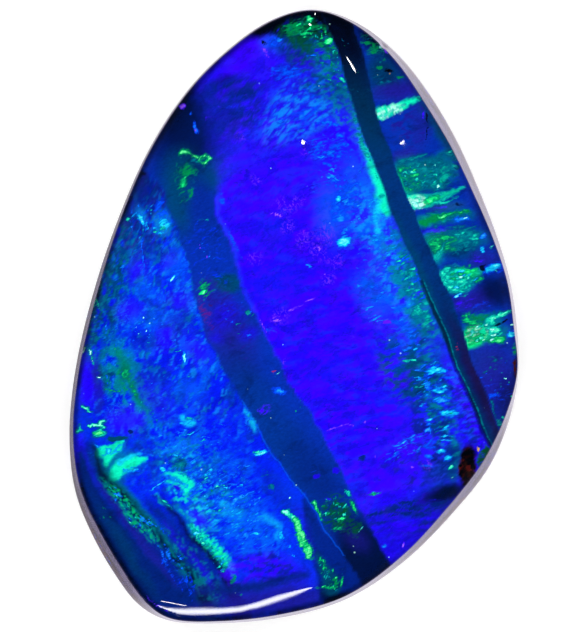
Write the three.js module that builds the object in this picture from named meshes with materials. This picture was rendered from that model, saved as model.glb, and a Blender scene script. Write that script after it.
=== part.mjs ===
// A polished boulder opal: one freeform cabochon, cut so that a skin of opal stays on its ironstone.
// It lies on its flat ground back. X runs across the face and Y along it, with the narrow end at +Y.
// The origin is under the middle of the stone, in the plane of the back. All sizes are in millimetres.
import * as THREE from "three";
import { LoftGeometry } from "three/addons/geometries/LoftGeometry.js";

// The girdle, the widest line round the stone, anticlockwise from the right as [x, y, rim].
// rim is how far the side wall leans in there, which shows as a pale rim round the face.
const GIRDLE = [
  [8.06, -1.9, 0.06],
  [8.0, -0.45, 0.14],
  [7.77, 1.2, 0.13],
  [7.28, 2.9, 0.2],
  [6.64, 4.55, 0.27],
  [5.88, 6.25, 0.33],
  [4.95, 7.85, 0.36],
  [3.8, 9.32, 0.25],
  [2.35, 10.47, 0.13],
  [0.7, 11.0, 0.06],
  [-0.85, 10.6, 0.07],
  [-2.45, 9.48, 0.07],
  [-3.85, 8.05, 0.07],
  [-5.2, 5.98, 0.08],
  [-6.36, 3.35, 0.11],
  [-7.2, 0.85, 0.16],
  [-7.84, -1.9, 0.16],
  [-8.06, -4.25, 0.16],
  [-7.86, -6.25, 0.24],
  [-7.25, -7.82, 0.34],
  [-6.4, -9.3, 0.36],
  [-5.55, -10.38, 0.3],
  [-4.55, -10.9, 0.12],
  [-2.6, -11.0, 0.11],
  [-0.3, -10.78, 0.16],
  [1.92, -10.13, 0.15],
  [4.03, -8.74, 0.24],
  [5.85, -6.9, 0.32],
  [7.05, -5.35, 0.33],
  [7.78, -3.55, 0.2],
];

// Heights above the back
const GIRDLE_HEIGHT = 0.75;
const WALL_TOP = 2.7;
const STONE_HEIGHT = 4.2;

// The back's ground bevel, which curves from the girdle down to the flat
const BACK_BEVEL_WIDTH = 0.6;
const BACK_BEVEL_STEPS = 4;

// The crown rises from the wall's top edge: its shoulder is rounded and its middle nearly flat.
const CROWN_CENTRE = { x: 0.15, y: -0.9 };
const CROWN_FULLNESS = 5.5;
const CROWN_RINGS = 17;
const CROWN_FLAT = 0.03;

// The edge where the polished wall meets the crown is broken by a small radius.
const EDGE_RADIUS = 0.12;
const EDGE_STEPS = 3;

const COLUMNS = 112;

const OPAL = { color: 0x1410c8, roughness: 0.08, metalness: 0 };

// The girdle's points evenly round the stone. The rim rides along as the curve's third number.
function girdleStations() {
  const curve = new THREE.CatmullRomCurve3(
    GIRDLE.map(([x, y, rim]) => new THREE.Vector3(x, y, rim)),
    true,
  );
  const points = curve.getSpacedPoints(COLUMNS).slice(0, COLUMNS);
  return points.map((point, i) => {
    const before = points[(i + COLUMNS - 1) % COLUMNS];
    const after = points[(i + 1) % COLUMNS];
    const along = new THREE.Vector2(after.x - before.x, after.y - before.y).normalize();
    return {
      x: point.x,
      y: point.y,
      rim: point.z,
      inward: new THREE.Vector2(-along.y, along.x),
    };
  });
}

// One ring of the loft: the girdle moved inwards by inset(station), at one height
function ring(stations, inset, height) {
  return stations.map((station) => {
    const step = inset(station);
    return new THREE.Vector3(
      station.x + station.inward.x * step,
      station.y + station.inward.y * step,
      height,
    );
  });
}

// A quarter of an ellipse from the flat back out to the girdle
function backRings(stations) {
  const rings = [];
  for (let i = 0; i < BACK_BEVEL_STEPS; i++) {
    const angle = ((i / BACK_BEVEL_STEPS) * Math.PI) / 2;
    const inset = BACK_BEVEL_WIDTH * (1 - Math.sin(angle));
    rings.push(ring(stations, () => inset, GIRDLE_HEIGHT * (1 - Math.cos(angle))));
  }
  return rings;
}

// The leaning side wall, up to where the broken edge begins
function wallRings(stations) {
  return [
    ring(stations, () => 0, GIRDLE_HEIGHT),
    ring(stations, (s) => s.rim / 2, (GIRDLE_HEIGHT + WALL_TOP - EDGE_RADIUS) / 2),
    ring(stations, (s) => s.rim, WALL_TOP - EDGE_RADIUS),
  ];
}

// Height gained over the crown at a share of the way in, from 0 at its edge to 1 at its centre
function crownRise(share) {
  return 1 - (1 - share) ** CROWN_FULLNESS;
}

// The broken edge, as an arc that turns from the wall's slope to the crown's
function edgeRings(stations) {
  const rings = [];
  for (let i = 1; i <= EDGE_STEPS; i++) {
    const angle = ((i / EDGE_STEPS) * Math.PI) / 4;
    const inset = EDGE_RADIUS * (1 - Math.cos(angle));
    const height = WALL_TOP - EDGE_RADIUS + EDGE_RADIUS * Math.sin(angle);
    rings.push(ring(stations, (s) => s.rim + inset, height));
  }
  return rings;
}

// The crown shrinks the broken edge's last ring towards its centre, in rings that lie closer
// together on the shoulder.
function crownRings(edge) {
  const foot = edge[0].z;
  const rings = [];
  for (let i = 1; i <= CROWN_RINGS; i++) {
    const share = (1 - CROWN_FLAT) * (i / CROWN_RINGS) ** 1.6;
    const height = foot + (STONE_HEIGHT - foot) * crownRise(share);
    rings.push(
      edge.map(
        (point) =>
          new THREE.Vector3(
            point.x + (CROWN_CENTRE.x - point.x) * share,
            point.y + (CROWN_CENTRE.y - point.y) * share,
            height,
          ),
      ),
    );
  }
  return rings;
}

function boulderOpal() {
  const stations = girdleStations();
  const edge = edgeRings(stations);
  const rings = [
    ...backRings(stations),
    ...wallRings(stations),
    ...edge,
    ...crownRings(edge[edge.length - 1]),
  ];
  const shape = new LoftGeometry(rings, { capStart: true, capEnd: true });
  const stone = new THREE.Mesh(shape, new THREE.MeshStandardMaterial(OPAL));
  stone.name = "boulder_opal";
  return stone;
}

const group = new THREE.Group();
group.add(boulderOpal());

export default group;
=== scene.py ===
import math
import random

import bmesh
import bpy
import numpy as np
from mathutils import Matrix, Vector, noise
from mathutils.bvhtree import BVHTree


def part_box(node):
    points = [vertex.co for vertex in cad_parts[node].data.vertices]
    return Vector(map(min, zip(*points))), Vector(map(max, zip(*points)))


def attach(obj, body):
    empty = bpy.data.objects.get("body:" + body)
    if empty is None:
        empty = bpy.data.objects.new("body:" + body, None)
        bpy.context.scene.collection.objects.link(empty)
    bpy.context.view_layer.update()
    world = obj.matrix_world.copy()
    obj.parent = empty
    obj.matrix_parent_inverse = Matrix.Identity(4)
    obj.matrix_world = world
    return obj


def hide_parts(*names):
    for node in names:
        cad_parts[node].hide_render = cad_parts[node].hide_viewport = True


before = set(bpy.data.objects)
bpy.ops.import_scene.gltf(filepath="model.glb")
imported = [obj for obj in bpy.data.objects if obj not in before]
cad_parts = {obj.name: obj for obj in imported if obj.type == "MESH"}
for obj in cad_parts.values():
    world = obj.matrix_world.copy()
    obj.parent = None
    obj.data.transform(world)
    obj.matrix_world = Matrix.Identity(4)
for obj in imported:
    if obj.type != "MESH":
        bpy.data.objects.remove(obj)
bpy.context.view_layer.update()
stoneLow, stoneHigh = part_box("boulder_opal")
mm = 0.001  # metres in a millimetre
wanderSeed = 21
noise.seed_set(wanderSeed)  # else Blender's noise vectors start from the clock
print("frame loaded")


# Node helpers

def addNode(tree, kind, inputs=None, **settings):
    made = tree.nodes.new(kind)
    place = len(tree.nodes)
    made.location = (190 * (place % 24), -230 * (place // 24))
    for name, value in settings.items():
        setattr(made, name, value)
    for name, value in (inputs or {}).items():
        fill(tree, made.inputs[name], value)
    return made


def fill(tree, socket, value):
    if isinstance(value, bpy.types.NodeSocket):
        tree.links.new(value, socket)
    else:
        socket.default_value = value


def calculate(tree, operation, *values):
    made = addNode(tree, "ShaderNodeMath", operation=operation)
    for socket, value in zip(made.inputs, values):
        fill(tree, socket, value)
    return made.outputs[0]


def ramp(tree, value, start, end, low=0.0, high=1.0, smooth=True):
    made = addNode(
        tree,
        "ShaderNodeMapRange",
        {"Value": value, "From Min": start, "From Max": end, "To Min": low, "To Max": high},
        interpolation_type="SMOOTHSTEP" if smooth else "LINEAR",
    )
    return made.outputs["Result"]


def blendColours(tree, share, below, above, kind="MIX"):
    made = addNode(tree, "ShaderNodeMix", data_type="RGBA", blend_type=kind)
    fill(tree, made.inputs[0], share)
    fill(tree, made.inputs[6], below)
    fill(tree, made.inputs[7], above)
    return made.outputs[2]


def vectorMath(tree, operation, *values, output="Vector"):
    made = addNode(tree, "ShaderNodeVectorMath", operation=operation)
    for socket, value in zip(made.inputs, values):
        fill(tree, socket, value)
    return made.outputs[output]


# A hue's run of colours, from a value of 0.3 to one of 1.45
def colourRun(tree, value, colours):
    made = addNode(tree, "ShaderNodeValToRGB", {"Fac": ramp(tree, value, 0.3, 1.45, smooth=False)})
    stops = made.color_ramp.elements
    while len(stops) < len(colours):
        stops.new(0.5)
    for stop, colour, place in zip(stops, colours, (0, 0.25, 0.55, 1)):
        stop.position = place
        stop.color = colour
    return made.outputs["Color"]


def newGroup(name, inputs, outputs):
    group = bpy.data.node_groups.new(name, "ShaderNodeTree")
    for label, kind, start in inputs:
        socket = group.interface.new_socket(name=label, in_out="INPUT", socket_type="NodeSocket" + kind)
        if start is not None:
            socket.default_value = start
    for label, kind in outputs:
        group.interface.new_socket(name=label, in_out="OUTPUT", socket_type="NodeSocket" + kind)
    source = addNode(group, "NodeGroupInput")
    target = addNode(group, "NodeGroupOutput")
    return group, source.outputs, target.inputs


def placeGroup(tree, group, values):
    made = addNode(tree, "ShaderNodeGroup", node_tree=group)
    for name, value in values.items():
        fill(tree, made.inputs[name], value)
    return made.outputs


# A colour as it shows on screen, from 0 to 255, made linear for a node
def shown(red, green, blue):
    share = [channel / 255 for channel in (red, green, blue)]
    return [c / 12.92 if c <= 0.04045 else ((c + 0.055) / 1.055) ** 2.4 for c in share] + [1]


# The stone's shape

stoneShape = {
    "smoothing": 2,  # subdivision levels of the smooth copy that the fine mesh is laid on
    "acrossFaces": 232,  # the fine mesh of the polished face
    "alongFaces": 316,
    "crownFoot": 2.68,  # mm above the back, where the crown meets the wall's broken edge
    "wallHeights": [2.62, 2.5, 2.3, 2.1, 1.9, 1.7, 1.5, 1.3, 1.1, 0.92, 0.75, 0.58, 0.4, 0.24, 0.11, 0.03],
    "backRings": [0.97, 0.8, 0.55, 0.25, 0.05],
    "axis": (0.15, -0.9),  # the crown's middle, in mm
    "clearHeight": 20,  # mm above the back, well over the crown
    "bareHeight": 0.62,  # mm above the back, below which the wall is left rough
    "bareWander": 0.25,
    "bareFade": 0.25,  # mm
    "pitSize": 0.55,  # mm from one pit to the next
    "pitDepth": 0.06,
    "grainDepth": 0.02,
    "faceSwell": 0.008,  # mm of hand-polished unevenness on the face
    "swells": [(3.86, 6.19, 0.5, 0.004)],  # slight rounded swells, as x, y, reach and height in mm
    "chips": [(3.2, 9.66, 0.15, 0.05), (-5.3, -10.05, 0.14, 0.03)],  # chips in the edge, with their depth
    "chipHeight": 1.5,  # mm above the back, below which the chips don't reach
}


# The flat back and the flat top each become one face, and the loft's triangles become quads.
def coarseStone(node):
    bm = bmesh.new()
    bm.from_mesh(node.data)
    bmesh.ops.remove_doubles(bm, verts=bm.verts, dist=0.002 * mm)
    for level in (stoneLow.z, stoneHigh.z):
        flat = [f for f in bm.faces if all(abs(v.co.z - level) < 0.001 * mm for v in f.verts)]
        bmesh.ops.dissolve_faces(bm, faces=flat)
    bmesh.ops.join_triangles(
        bm,
        faces=[f for f in bm.faces if len(f.verts) == 3],
        angle_face_threshold=math.radians(60),
        angle_shape_threshold=math.radians(180),
    )
    return bm


def smoothed(bm, name):
    coarse = bpy.data.meshes.new("coarse")
    bm.to_mesh(coarse)
    bm.free()
    piece = bpy.data.objects.new(name, coarse)
    bpy.context.scene.collection.objects.link(piece)
    smoother = piece.modifiers.new("smooth", "SUBSURF")
    smoother.levels = stoneShape["smoothing"]
    smoother.render_levels = stoneShape["smoothing"]
    bpy.context.view_layer.update()
    seen = piece.evaluated_get(bpy.context.evaluated_depsgraph_get())
    fine = bpy.data.meshes.new_from_object(seen)
    piece.modifiers.clear()
    piece.data = fine
    bpy.data.meshes.remove(coarse)
    return piece


# A fine and even mesh laid on the smooth copy: a grid over the crown, then rings down the wall and
# under the back
def evenStone(smoothCopy, name):
    tree = BVHTree.FromObject(smoothCopy, bpy.context.evaluated_depsgraph_get())
    axis = Vector((*stoneShape["axis"], 0)) * mm

    def onWall(toward, height):
        outward = Vector((toward.x, toward.y, 0)).normalized()
        return tree.ray_cast(axis + Vector((0, 0, height * mm)), outward)[0]

    bm = bmesh.new()
    bmesh.ops.create_grid(
        bm, x_segments=stoneShape["acrossFaces"], y_segments=stoneShape["alongFaces"], size=1
    )
    for vert in bm.verts:
        u, v = vert.co.x, vert.co.y
        spread = Vector((u * math.sqrt(1 - v * v / 2), v * math.sqrt(1 - u * u / 2), 0))
        share = spread.length
        if share < 1e-6:
            spread = Vector((1, 0, 0))
        foot = onWall(spread, stoneShape["crownFoot"])
        if vert.is_boundary:
            vert.co = foot
            continue
        place = axis.lerp(Vector((foot.x, foot.y, 0)), share)
        above = place + Vector((0, 0, stoneShape["clearHeight"] * mm))
        vert.co = tree.ray_cast(above, Vector((0, 0, -1)))[0]
    rim = [edge for edge in bm.edges if edge.is_boundary]
    rings = [(height, 1) for height in stoneShape["wallHeights"]]
    rings += [(0, scale) for scale in stoneShape["backRings"]]
    for height, scale in rings:
        grown = bmesh.ops.extrude_edge_only(bm, edges=rim)["geom"]
        for vert in [part for part in grown if isinstance(part, bmesh.types.BMVert)]:
            if height > 0:
                vert.co = onWall(vert.co - axis, height)
            else:
                flat = Vector((vert.co.x, vert.co.y, stoneLow.z))
                vert.co = Vector((axis.x, axis.y, stoneLow.z)).lerp(flat, scale)
        rim = [part for part in grown if isinstance(part, bmesh.types.BMEdge) and part.is_boundary]
    bmesh.ops.edgeloop_fill(bm, edges=rim)
    bmesh.ops.recalc_face_normals(bm, faces=bm.faces)
    bpy.data.objects.remove(smoothCopy)
    mesh = bpy.data.meshes.new(name)
    bm.to_mesh(mesh)
    bm.free()
    piece = bpy.data.objects.new(name, mesh)
    bpy.context.scene.collection.objects.link(piece)
    return piece


# How bare a spot is: 0 where the stone is polished, and 1 on the rough ironstone at the wall's foot and
# on the back
def bareness(place):
    wander = noise.noise(place / mm * 0.5) * stoneShape["bareWander"]
    below = stoneShape["bareHeight"] + wander - place.z / mm
    return min(1, max(0, below) / stoneShape["bareFade"])


# Pits and grain go into the bare ironstone, and the polished face keeps a slight hand-made swell.
def carve(piece):
    bm = bmesh.new()
    bm.from_mesh(piece.data)
    bm.normal_update()
    for vert in bm.verts:
        spot = vert.co / mm
        bare = bareness(vert.co)
        near = noise.voronoi(spot / stoneShape["pitSize"])[0][0]
        depth = bare * stoneShape["pitDepth"] * max(0, 1 - near / 0.45) ** 2
        depth += bare * stoneShape["grainDepth"] * (0.5 + 0.5 * noise.fractal(spot * 2.2, 1, 2, 3))
        depth += (1 - bare) * stoneShape["faceSwell"] * (0.5 + 0.5 * noise.noise(spot * 0.35))
        for x, y, reach, height in stoneShape["swells"]:
            depth += height * (1 - math.exp(-((spot.x - x) ** 2 + (spot.y - y) ** 2) / reach ** 2))
        for x, y, reach, chipped in stoneShape["chips"]:
            away = math.hypot(spot.x - x, spot.y - y) / reach
            if away < 1 and spot.z > stoneShape["chipHeight"]:
                depth += chipped * (1 - away * away) * (0.8 + 0.4 * noise.noise(spot * 6))
        if vert.co.z < stoneLow.z + 0.01 * mm:
            depth = 0
        vert.co -= vert.normal * depth * mm
    bm.to_mesh(piece.data)
    bm.free()
    piece.data.polygons.foreach_set("use_smooth", [True] * len(piece.data.polygons))
    piece.data.update()


stone = evenStone(smoothed(coarseStone(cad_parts["boulder_opal"]), "smooth_copy"), "opal_stone")
carve(stone)
print("stone shaped:", len(stone.data.polygons), "faces")


# The opal's pattern. Places are in mm from the middle of the stone, as it is seen from above.

palette = {
    "black": shown(2, 4, 10),
    # The near-black the face darkens to at its edge: partly the thinning opal, partly painted shade
    "edgeInkAndShade": shown(1, 5, 16),
    "ink": shown(2, 14, 48),
    "navy": shown(3, 30, 110),
    "seam": shown(2, 42, 105),
    "band": shown(5, 41, 156),
    "deepTeal": shown(0, 62, 95),
    "teal": shown(0, 118, 130),
    "indigo": shown(26, 22, 140),
    "ultramarine": shown(22, 10, 205),
    "royal": shown(4, 20, 216),
    "violetBlue": shown(29, 5, 240),
    "violet": shown(50, 2, 245),
    "purple": shown(88, 20, 250),
    "blue": shown(4, 42, 214),
    "thread": shown(20, 160, 220),
    "lace": shown(115, 48, 240),
    "azure": shown(4, 84, 226),
    "sky": shown(12, 126, 228),
    "cyan": shown(14, 190, 230),
    "aqua": shown(10, 226, 178),
    "green": shown(4, 186, 102),
    "bright": shown(16, 238, 130),
    "leaf": shown(0, 122, 68),
    "moss": shown(2, 70, 45),
    "pale": shown(185, 255, 238),
    "plum": shown(85, 20, 125),
    "crimson": shown(160, 30, 60),
    "redBrown": shown(62, 14, 14),
    "umber": shown(26, 12, 9),
    "amber": shown(190, 150, 50),
}

# Where one zone of the stone gives way to the next, and two fine lines, as [y, x] points down the stone
zoneEdges = {
    "bandLeft": [
        (11, -8.6), (5.9, -7.5), (5.1, -5.3), (4.5, -4.65), (3.5, -4.32), (3.0, -4.12), (2.5, -4.05),
        (2.3, -3.92), (1.65, -3.75), (0.5, -3.54), (-1, -3.0), (-2, -2.43), (-2.9, -1.93),
        (-3.97, -1.24), (-5.0, -0.74), (-5.75, -0.12), (-6.3, 0.26), (-7.45, 1.05), (-8.88, 2.0),
        (-11, 3.2),
    ],
    "bandRight": [
        (11, -4.6), (8.6, -3.6), (8.0, -2.8), (7.0, -2.3), (6.16, -2.2), (5.16, -2.25), (4.7, -2.5),
        (4.16, -2.79), (3.66, -2.79), (2.73, -2.29), (1.66, -2.03), (0.59, -1.68), (-0.49, -1.14),
        (-1.2, -0.68), (-2.27, -0.2), (-3.34, 0.57), (-6.27, 2.07), (-7.84, 2.93), (-8.91, 3.43),
        (-11, 4.2),
    ],
    "seamLeft": [
        (11, 0.9), (9.5, 1.54), (7.1, 2.21), (4.84, 3.04), (3.86, 3.43), (2.55, 3.96), (1.3, 4.5),
        (0.35, 4.86), (-0.6, 5.21), (-1.2, 5.51), (-1.97, 5.87), (-2.69, 6.17), (-3.28, 6.4),
        (-3.88, 6.64), (-4.65, 6.94), (-6, 7.5),
    ],
    "seamRight": [
        (11, 1.95), (9.5, 2.45), (6.94, 3.04), (4.76, 3.84), (4.33, 4.02), (2.73, 4.71), (1.54, 5.21),
        (0.47, 5.69), (-0.37, 5.99), (-1.1, 6.23), (-2.03, 6.52), (-2.75, 6.88), (-3.46, 7.06),
        (-3.88, 7.24), (-6, 8.2),
    ],
    "seamLine": [
        (1.3, 4.6), (1.18, 4.65), (0.7, 4.83), (0.11, 5.15), (-0.6, 5.45), (-1.65, 5.8), (-2.33, 6.1),
        (-2.95, 6.4), (-3.45, 6.6), (-4.25, 6.88), (-4.7, 7.1),
    ],
    "bandLine": [
        (-3.0, -1.87), (-3.97, -1.24), (-5.0, -0.74), (-5.75, -0.12), (-6.3, 0.26), (-7.45, 1.05),
        (-8.6, 1.82),
    ],
}


# The polish and its dust, and how the face gives way to the rim and the bare ironstone
finish = {
    # The face's darkening towards its edge is partly the opal thinning there and partly painted shade.
    "edgeTop": 2.88,  # mm above the back: below it the face darkens towards its edge
    "edgeFade": 0.18,
    "rimTop": 2.64,  # mm above the back: the leaning wall starts here
    "rimFade": 0.08,
    "rimColour": shown(112, 98, 140),
    "rimDeep": shown(62, 54, 92),
    "potchFoot": 2.15,  # mm above the back: below it, less the wander's half, the wall is ironstone
    "potchWander": 0.9,
    "stoneLight": shown(104, 70, 48),
    "stoneDark": shown(38, 24, 18),
    "stoneRust": shown(120, 62, 30),
    "polish": 0.025,  # roughness of the polished face and wall
    "ground": 0.55,  # roughness of the bare ironstone
    "refraction": 1.45,
    "crumbRelief": 0.03,  # mm, on the bare ironstone
    "dustApart": 0.42,  # mm between the dust's cells
    "dustShare": 0.2,  # of the cells that hold a speck
    "dustStrength": 0.4,
}

# The material's noise fields: each one's grain in mm, turn in degrees, detail, roughness, distortion
# and contrast
grains = {
    "wisps": ((0.46, 0.19, 1), 30, 5.0, 0.62, 1.4, 2.8),
    "fibres": ((0.52, 0.2, 1), 14, 5.0, 0.6, 1.2, 2.6),
    "specks": ((0.12, 0.07, 1), 20, 2.0, 0.5, 0.5, 2.0),
    "clouds": ((1.0, 0.65, 1), 25, 4.0, 0.6, 0.8, 2.2),
    "curls": ((0.6, 0.28, 1), 40, 2.0, 0.5, 1.6, 2.0),
    "twists": ((0.3, 0.17, 1), -62, 1.0, 0.5, 1.2, 2.0),
    "lumps": ((0.9, 0.7, 0.5), 30, 7.0, 0.62, 0.4, 2.0),
    "crumbs": ((0.16, 0.16, 0.12), 0, 4.0, 0.6, 0.0, 1.8),
    "veins": ((2.6, 1.6, 0.8), 40, 4.0, 0.55, 0.8, 2.0),
}

# Two flash hues are fine curling lines: the field that each one follows and half its width in it
curling = {"thread": ("curls", 0.1), "lace": ("twists", 0.16)}

# The painter works on the stone's own points. Washes are the ground colours, whose shares add up to one at
# every point. Flashes lie over them: the material breaks each one up with noise, so that one of half
# strength is scattered flakes and one of full strength a solid patch.

washHues = [
    "black", "ink", "umber", "redBrown", "navy", "seam", "band", "deepTeal", "teal", "moss", "leaf",
    "indigo", "ultramarine", "royal", "violetBlue", "violet", "blue", "azure", "sky", "cyan", "aqua",
    "green", "bright", "pale",
]
flashHues = [
    "black", "ink", "navy", "umber", "redBrown", "plum", "moss", "deepTeal", "teal", "leaf", "indigo",
    "ultramarine", "violet", "purple", "blue", "azure", "lavender", "sky", "cyan", "aqua", "green",
    "bright", "pale", "crimson", "amber", "thread", "lace",
]
# The flashes that take the noise the other way round, so that they lie between the bright ones
darkHues = [
    "black", "ink", "navy", "umber", "redBrown", "plum", "moss", "deepTeal", "indigo", "ultramarine",
]


# How each bright hue runs from its faint edge through its middle to its core
runs = {
    "teal": [shown(0, 46, 96), shown(0, 84, 116), shown(2, 120, 132), shown(30, 165, 150)],
    "azure": [shown(4, 40, 208), shown(4, 60, 218), shown(6, 86, 226), shown(18, 124, 232)],
    "lavender": [shown(60, 10, 252), shown(95, 40, 252), shown(140, 80, 252), shown(175, 120, 255)],
    "sky": [shown(4, 56, 210), shown(8, 88, 222), shown(14, 128, 230), shown(60, 176, 240)],
    "cyan": [shown(4, 70, 196), shown(6, 128, 214), shown(18, 200, 232), shown(150, 240, 250)],
    "aqua": [shown(0, 66, 118), shown(2, 132, 140), shown(20, 212, 172), shown(140, 250, 218)],
    "green": [shown(0, 54, 74), shown(2, 112, 84), shown(10, 190, 104), shown(110, 245, 160)],
    "bright": [shown(0, 90, 80), shown(4, 165, 98), shown(24, 238, 130), shown(150, 255, 200)],
    "pale": [shown(4, 120, 150), shown(60, 200, 190), shown(170, 246, 232), shown(245, 255, 252)],
}

# What each bright hue fades to round it
halos = {
    "sky": "azure", "cyan": "azure", "aqua": "teal", "green": "leaf", "bright": "green", "pale": "aqua",
    "teal": "deepTeal", "lavender": "violet",
}

# How the painter's tools wander and spread
brush = {
    "wanders": [(0.9, 0.13), (0.24, 0.06), (0.12, 0.04)],  # mm from bend to bend, and mm of wander
    "calmWander": 0.05,  # the first of these on the straight seam
    "calming": 0.8,  # how far a wash clears the flashes under it
    "haloSize": (1.2, 1.5),  # a flash's halo, as shares of its own length and width
    "haloStrength": 0.5,
    "solid": 0.7,  # the strength of a flash's middle
    "solidThin": 0.85,  # the same for one less than 0.1 mm wide
}


def ease(value):
    share = np.clip(value, 0, 1)
    return share * share * (3 - 2 * share)


# The points' places wander a little, so the strokes' edges do. The seam's calmer edges use calmX.
def startCanvas(piece):
    count = len(piece.data.vertices)
    spots = np.empty(count * 3)
    piece.data.vertices.foreach_get("co", spots)
    spots = spots.reshape(-1, 3) / mm
    flat = [Vector((x, y, 0)) for x, y, _ in spots]
    x, y = spots[:, 0].copy(), spots[:, 1].copy()
    drifts = []
    for size, reach in brush["wanders"]:
        drifts.append(np.array([noise.noise_vector(spot / size) for spot in flat]))
        x += reach * drifts[-1][:, 0]
        y += reach * drifts[-1][:, 1]
    return {
        "height": spots[:, 2],
        "x": x,
        "y": y,
        "calmX": spots[:, 0] + brush["calmWander"] * drifts[0][:, 0],
        "clip": np.ones(count),
        "washes": {hue: np.zeros(count) for hue in washHues},
        "flashes": {hue: np.zeros(count) for hue in flashHues},
    }


# A new zone covers what is painted so far, and what follows is painted inside it.
def openZone(canvas, share, hue):
    for layer in (*canvas["washes"].values(), *canvas["flashes"].values()):
        layer *= 1 - share
    canvas["washes"][hue] += share
    canvas["clip"] = share


def edgeX(canvas, name):
    points = sorted(zoneEdges[name])
    return np.interp(canvas["y"], [y for y, _ in points], [x for _, x in points])


# How far right of a fine line each point lies. Past the line's ends it counts as far away.
def offLine(canvas, name):
    heights = [y for y, _ in zoneEdges[name]]
    past = np.maximum(canvas["y"] - max(heights), 0) + np.maximum(min(heights) - canvas["y"], 0)
    off = canvas["calmX"] - edgeX(canvas, name)
    return off + np.where(off < 0, -20, 20) * past


def rightOf(canvas, name, soft=0.05, across="x"):
    return ease((canvas[across] - edgeX(canvas, name)) / (2 * soft) + 0.5)


# Washes share out what they cover and calm the flashes on it. A flash clears only the flashes that the
# material lays over it.
def lay(canvas, kind, hue, where, mask, strength):
    mask = mask * canvas["clip"][where]
    layers = canvas[kind]
    if kind == "washes":
        for layer in layers.values():
            layer[where] *= 1 - mask * strength
        layers[hue][where] += mask * strength
        for layer in canvas["flashes"].values():
            layer[where] *= 1 - brush["calming"] * mask * strength
        return
    for above in flashHues[flashHues.index(hue) + 1:]:
        layers[above][where] *= 1 - np.minimum(1, mask * strength)
    layers[hue][where] = np.maximum(layers[hue][where], mask * strength)


# An ellipse with its own length and width to each side in mm, its turn in degrees, and a bend
def patch(canvas, kind, hue, x, y, length, width, turn, soft, strength, bend=0):
    far = max(length, width) * (1 + soft)
    beside = abs(canvas["x"] - x) < far
    where = np.nonzero(beside & (abs(canvas["y"] - y) < far + abs(bend) * width))[0]
    cosine, sine = math.cos(math.radians(turn)), math.sin(math.radians(turn))
    across, down = canvas["x"][where] - x, canvas["y"][where] - y
    along = (across * cosine + down * sine) / length
    aside = (down * cosine - across * sine) / width + bend * along * along
    distance = np.sqrt(along * along + aside * aside)
    lay(canvas, kind, hue, where, ease((1 + soft - distance) / (2 * soft)), strength)


def wash(canvas, hue, x, y, length, width, turn, soft, strength=1):
    patch(canvas, "washes", hue, x, y, length, width, turn, soft, strength)


def flash(canvas, hue, x, y, length, width, turn, strength, bend=0):
    if hue in halos:
        longer, wider = brush["haloSize"]
        amount = brush["haloStrength"] * strength
        veil(canvas, halos[hue], x, y, length * longer, width * wider, turn, amount)
    solid = brush["solidThin"] if min(length, width) < 0.1 else brush["solid"]
    patch(canvas, "flashes", hue, x, y, length, width, turn, 0.55, strength * solid, bend)


# Scattered flakes of a hue over an ellipse, more of them the greater the amount
def veil(canvas, hue, x, y, length, width, turn, amount):
    far = max(length, width) * 1.8
    where = np.nonzero((abs(canvas["x"] - x) < far) & (abs(canvas["y"] - y) < far))[0]
    cosine, sine = math.cos(math.radians(turn)), math.sin(math.radians(turn))
    across, down = canvas["x"][where] - x, canvas["y"][where] - y
    along = (across * cosine + down * sine) / length
    aside = (down * cosine - across * sine) / width
    mask = ease((1.7 - np.sqrt(along * along + aside * aside)) / 1.4) * canvas["clip"][where]
    layer = canvas["flashes"][hue]
    layer[where] = np.maximum(layer[where], mask * amount)


# A line through its points, as wide to each side as each point's third number
def line(canvas, kind, hue, points, soft=0.04, strength=1.2):
    spots = np.array(points)
    reach = spots[:, 2].max() * 1.6 + soft + 0.1
    lows, highs = spots[:, :2].min(axis=0) - reach, spots[:, :2].max(axis=0) + reach
    x, y = canvas["x"], canvas["y"]
    where = np.nonzero((x > lows[0]) & (x < highs[0]) & (y > lows[1]) & (y < highs[1]))[0]
    x, y = x[where], y[where]
    mask = np.zeros(len(where))
    glow = np.zeros(len(where))
    for (x0, y0, w0), (x1, y1, w1) in zip(points, points[1:]):
        stepX, stepY = x1 - x0, y1 - y0
        share = np.clip(((x - x0) * stepX + (y - y0) * stepY) / (stepX * stepX + stepY * stepY), 0, 1)
        distance = np.hypot(x - x0 - share * stepX, y - y0 - share * stepY)
        half = w0 + (w1 - w0) * share
        mask = np.maximum(mask, ease((half - distance) / (2 * soft) + 0.5))
        glow = np.maximum(glow, ease((half * 1.6 + 0.1 - distance) / (half + 0.1)))
    if kind == "flashes" and hue in halos:
        layer = canvas["flashes"][halos[hue]]
        halo = glow * canvas["clip"][where] * brush["haloStrength"] * strength
        layer[where] = np.maximum(layer[where], halo)
    lay(canvas, kind, hue, where, mask, strength)


# Short strokes strewn over an ellipse, each a little different
def strew(canvas, hues, x, y, length, width, turn, count, stroke, lean, spread, strength, seed):
    dice = random.Random(seed)
    cosine, sine = math.cos(math.radians(turn)), math.sin(math.radians(turn))
    for _ in range(count):
        around = dice.uniform(0, math.tau)
        out = math.sqrt(dice.random())
        along, aside = out * math.cos(around) * length, out * math.sin(around) * width
        size = dice.uniform(0.5, 1.4)
        patch(
            canvas, "flashes", dice.choice(hues),
            x + along * cosine - aside * sine, y + along * sine + aside * cosine,
            stroke[0] * size, stroke[1] * dice.uniform(0.7, 1.4), lean + dice.uniform(-spread, spread),
            0.4, strength * dice.uniform(0.75, 1.15), dice.uniform(-0.6, 0.6),
        )


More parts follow.
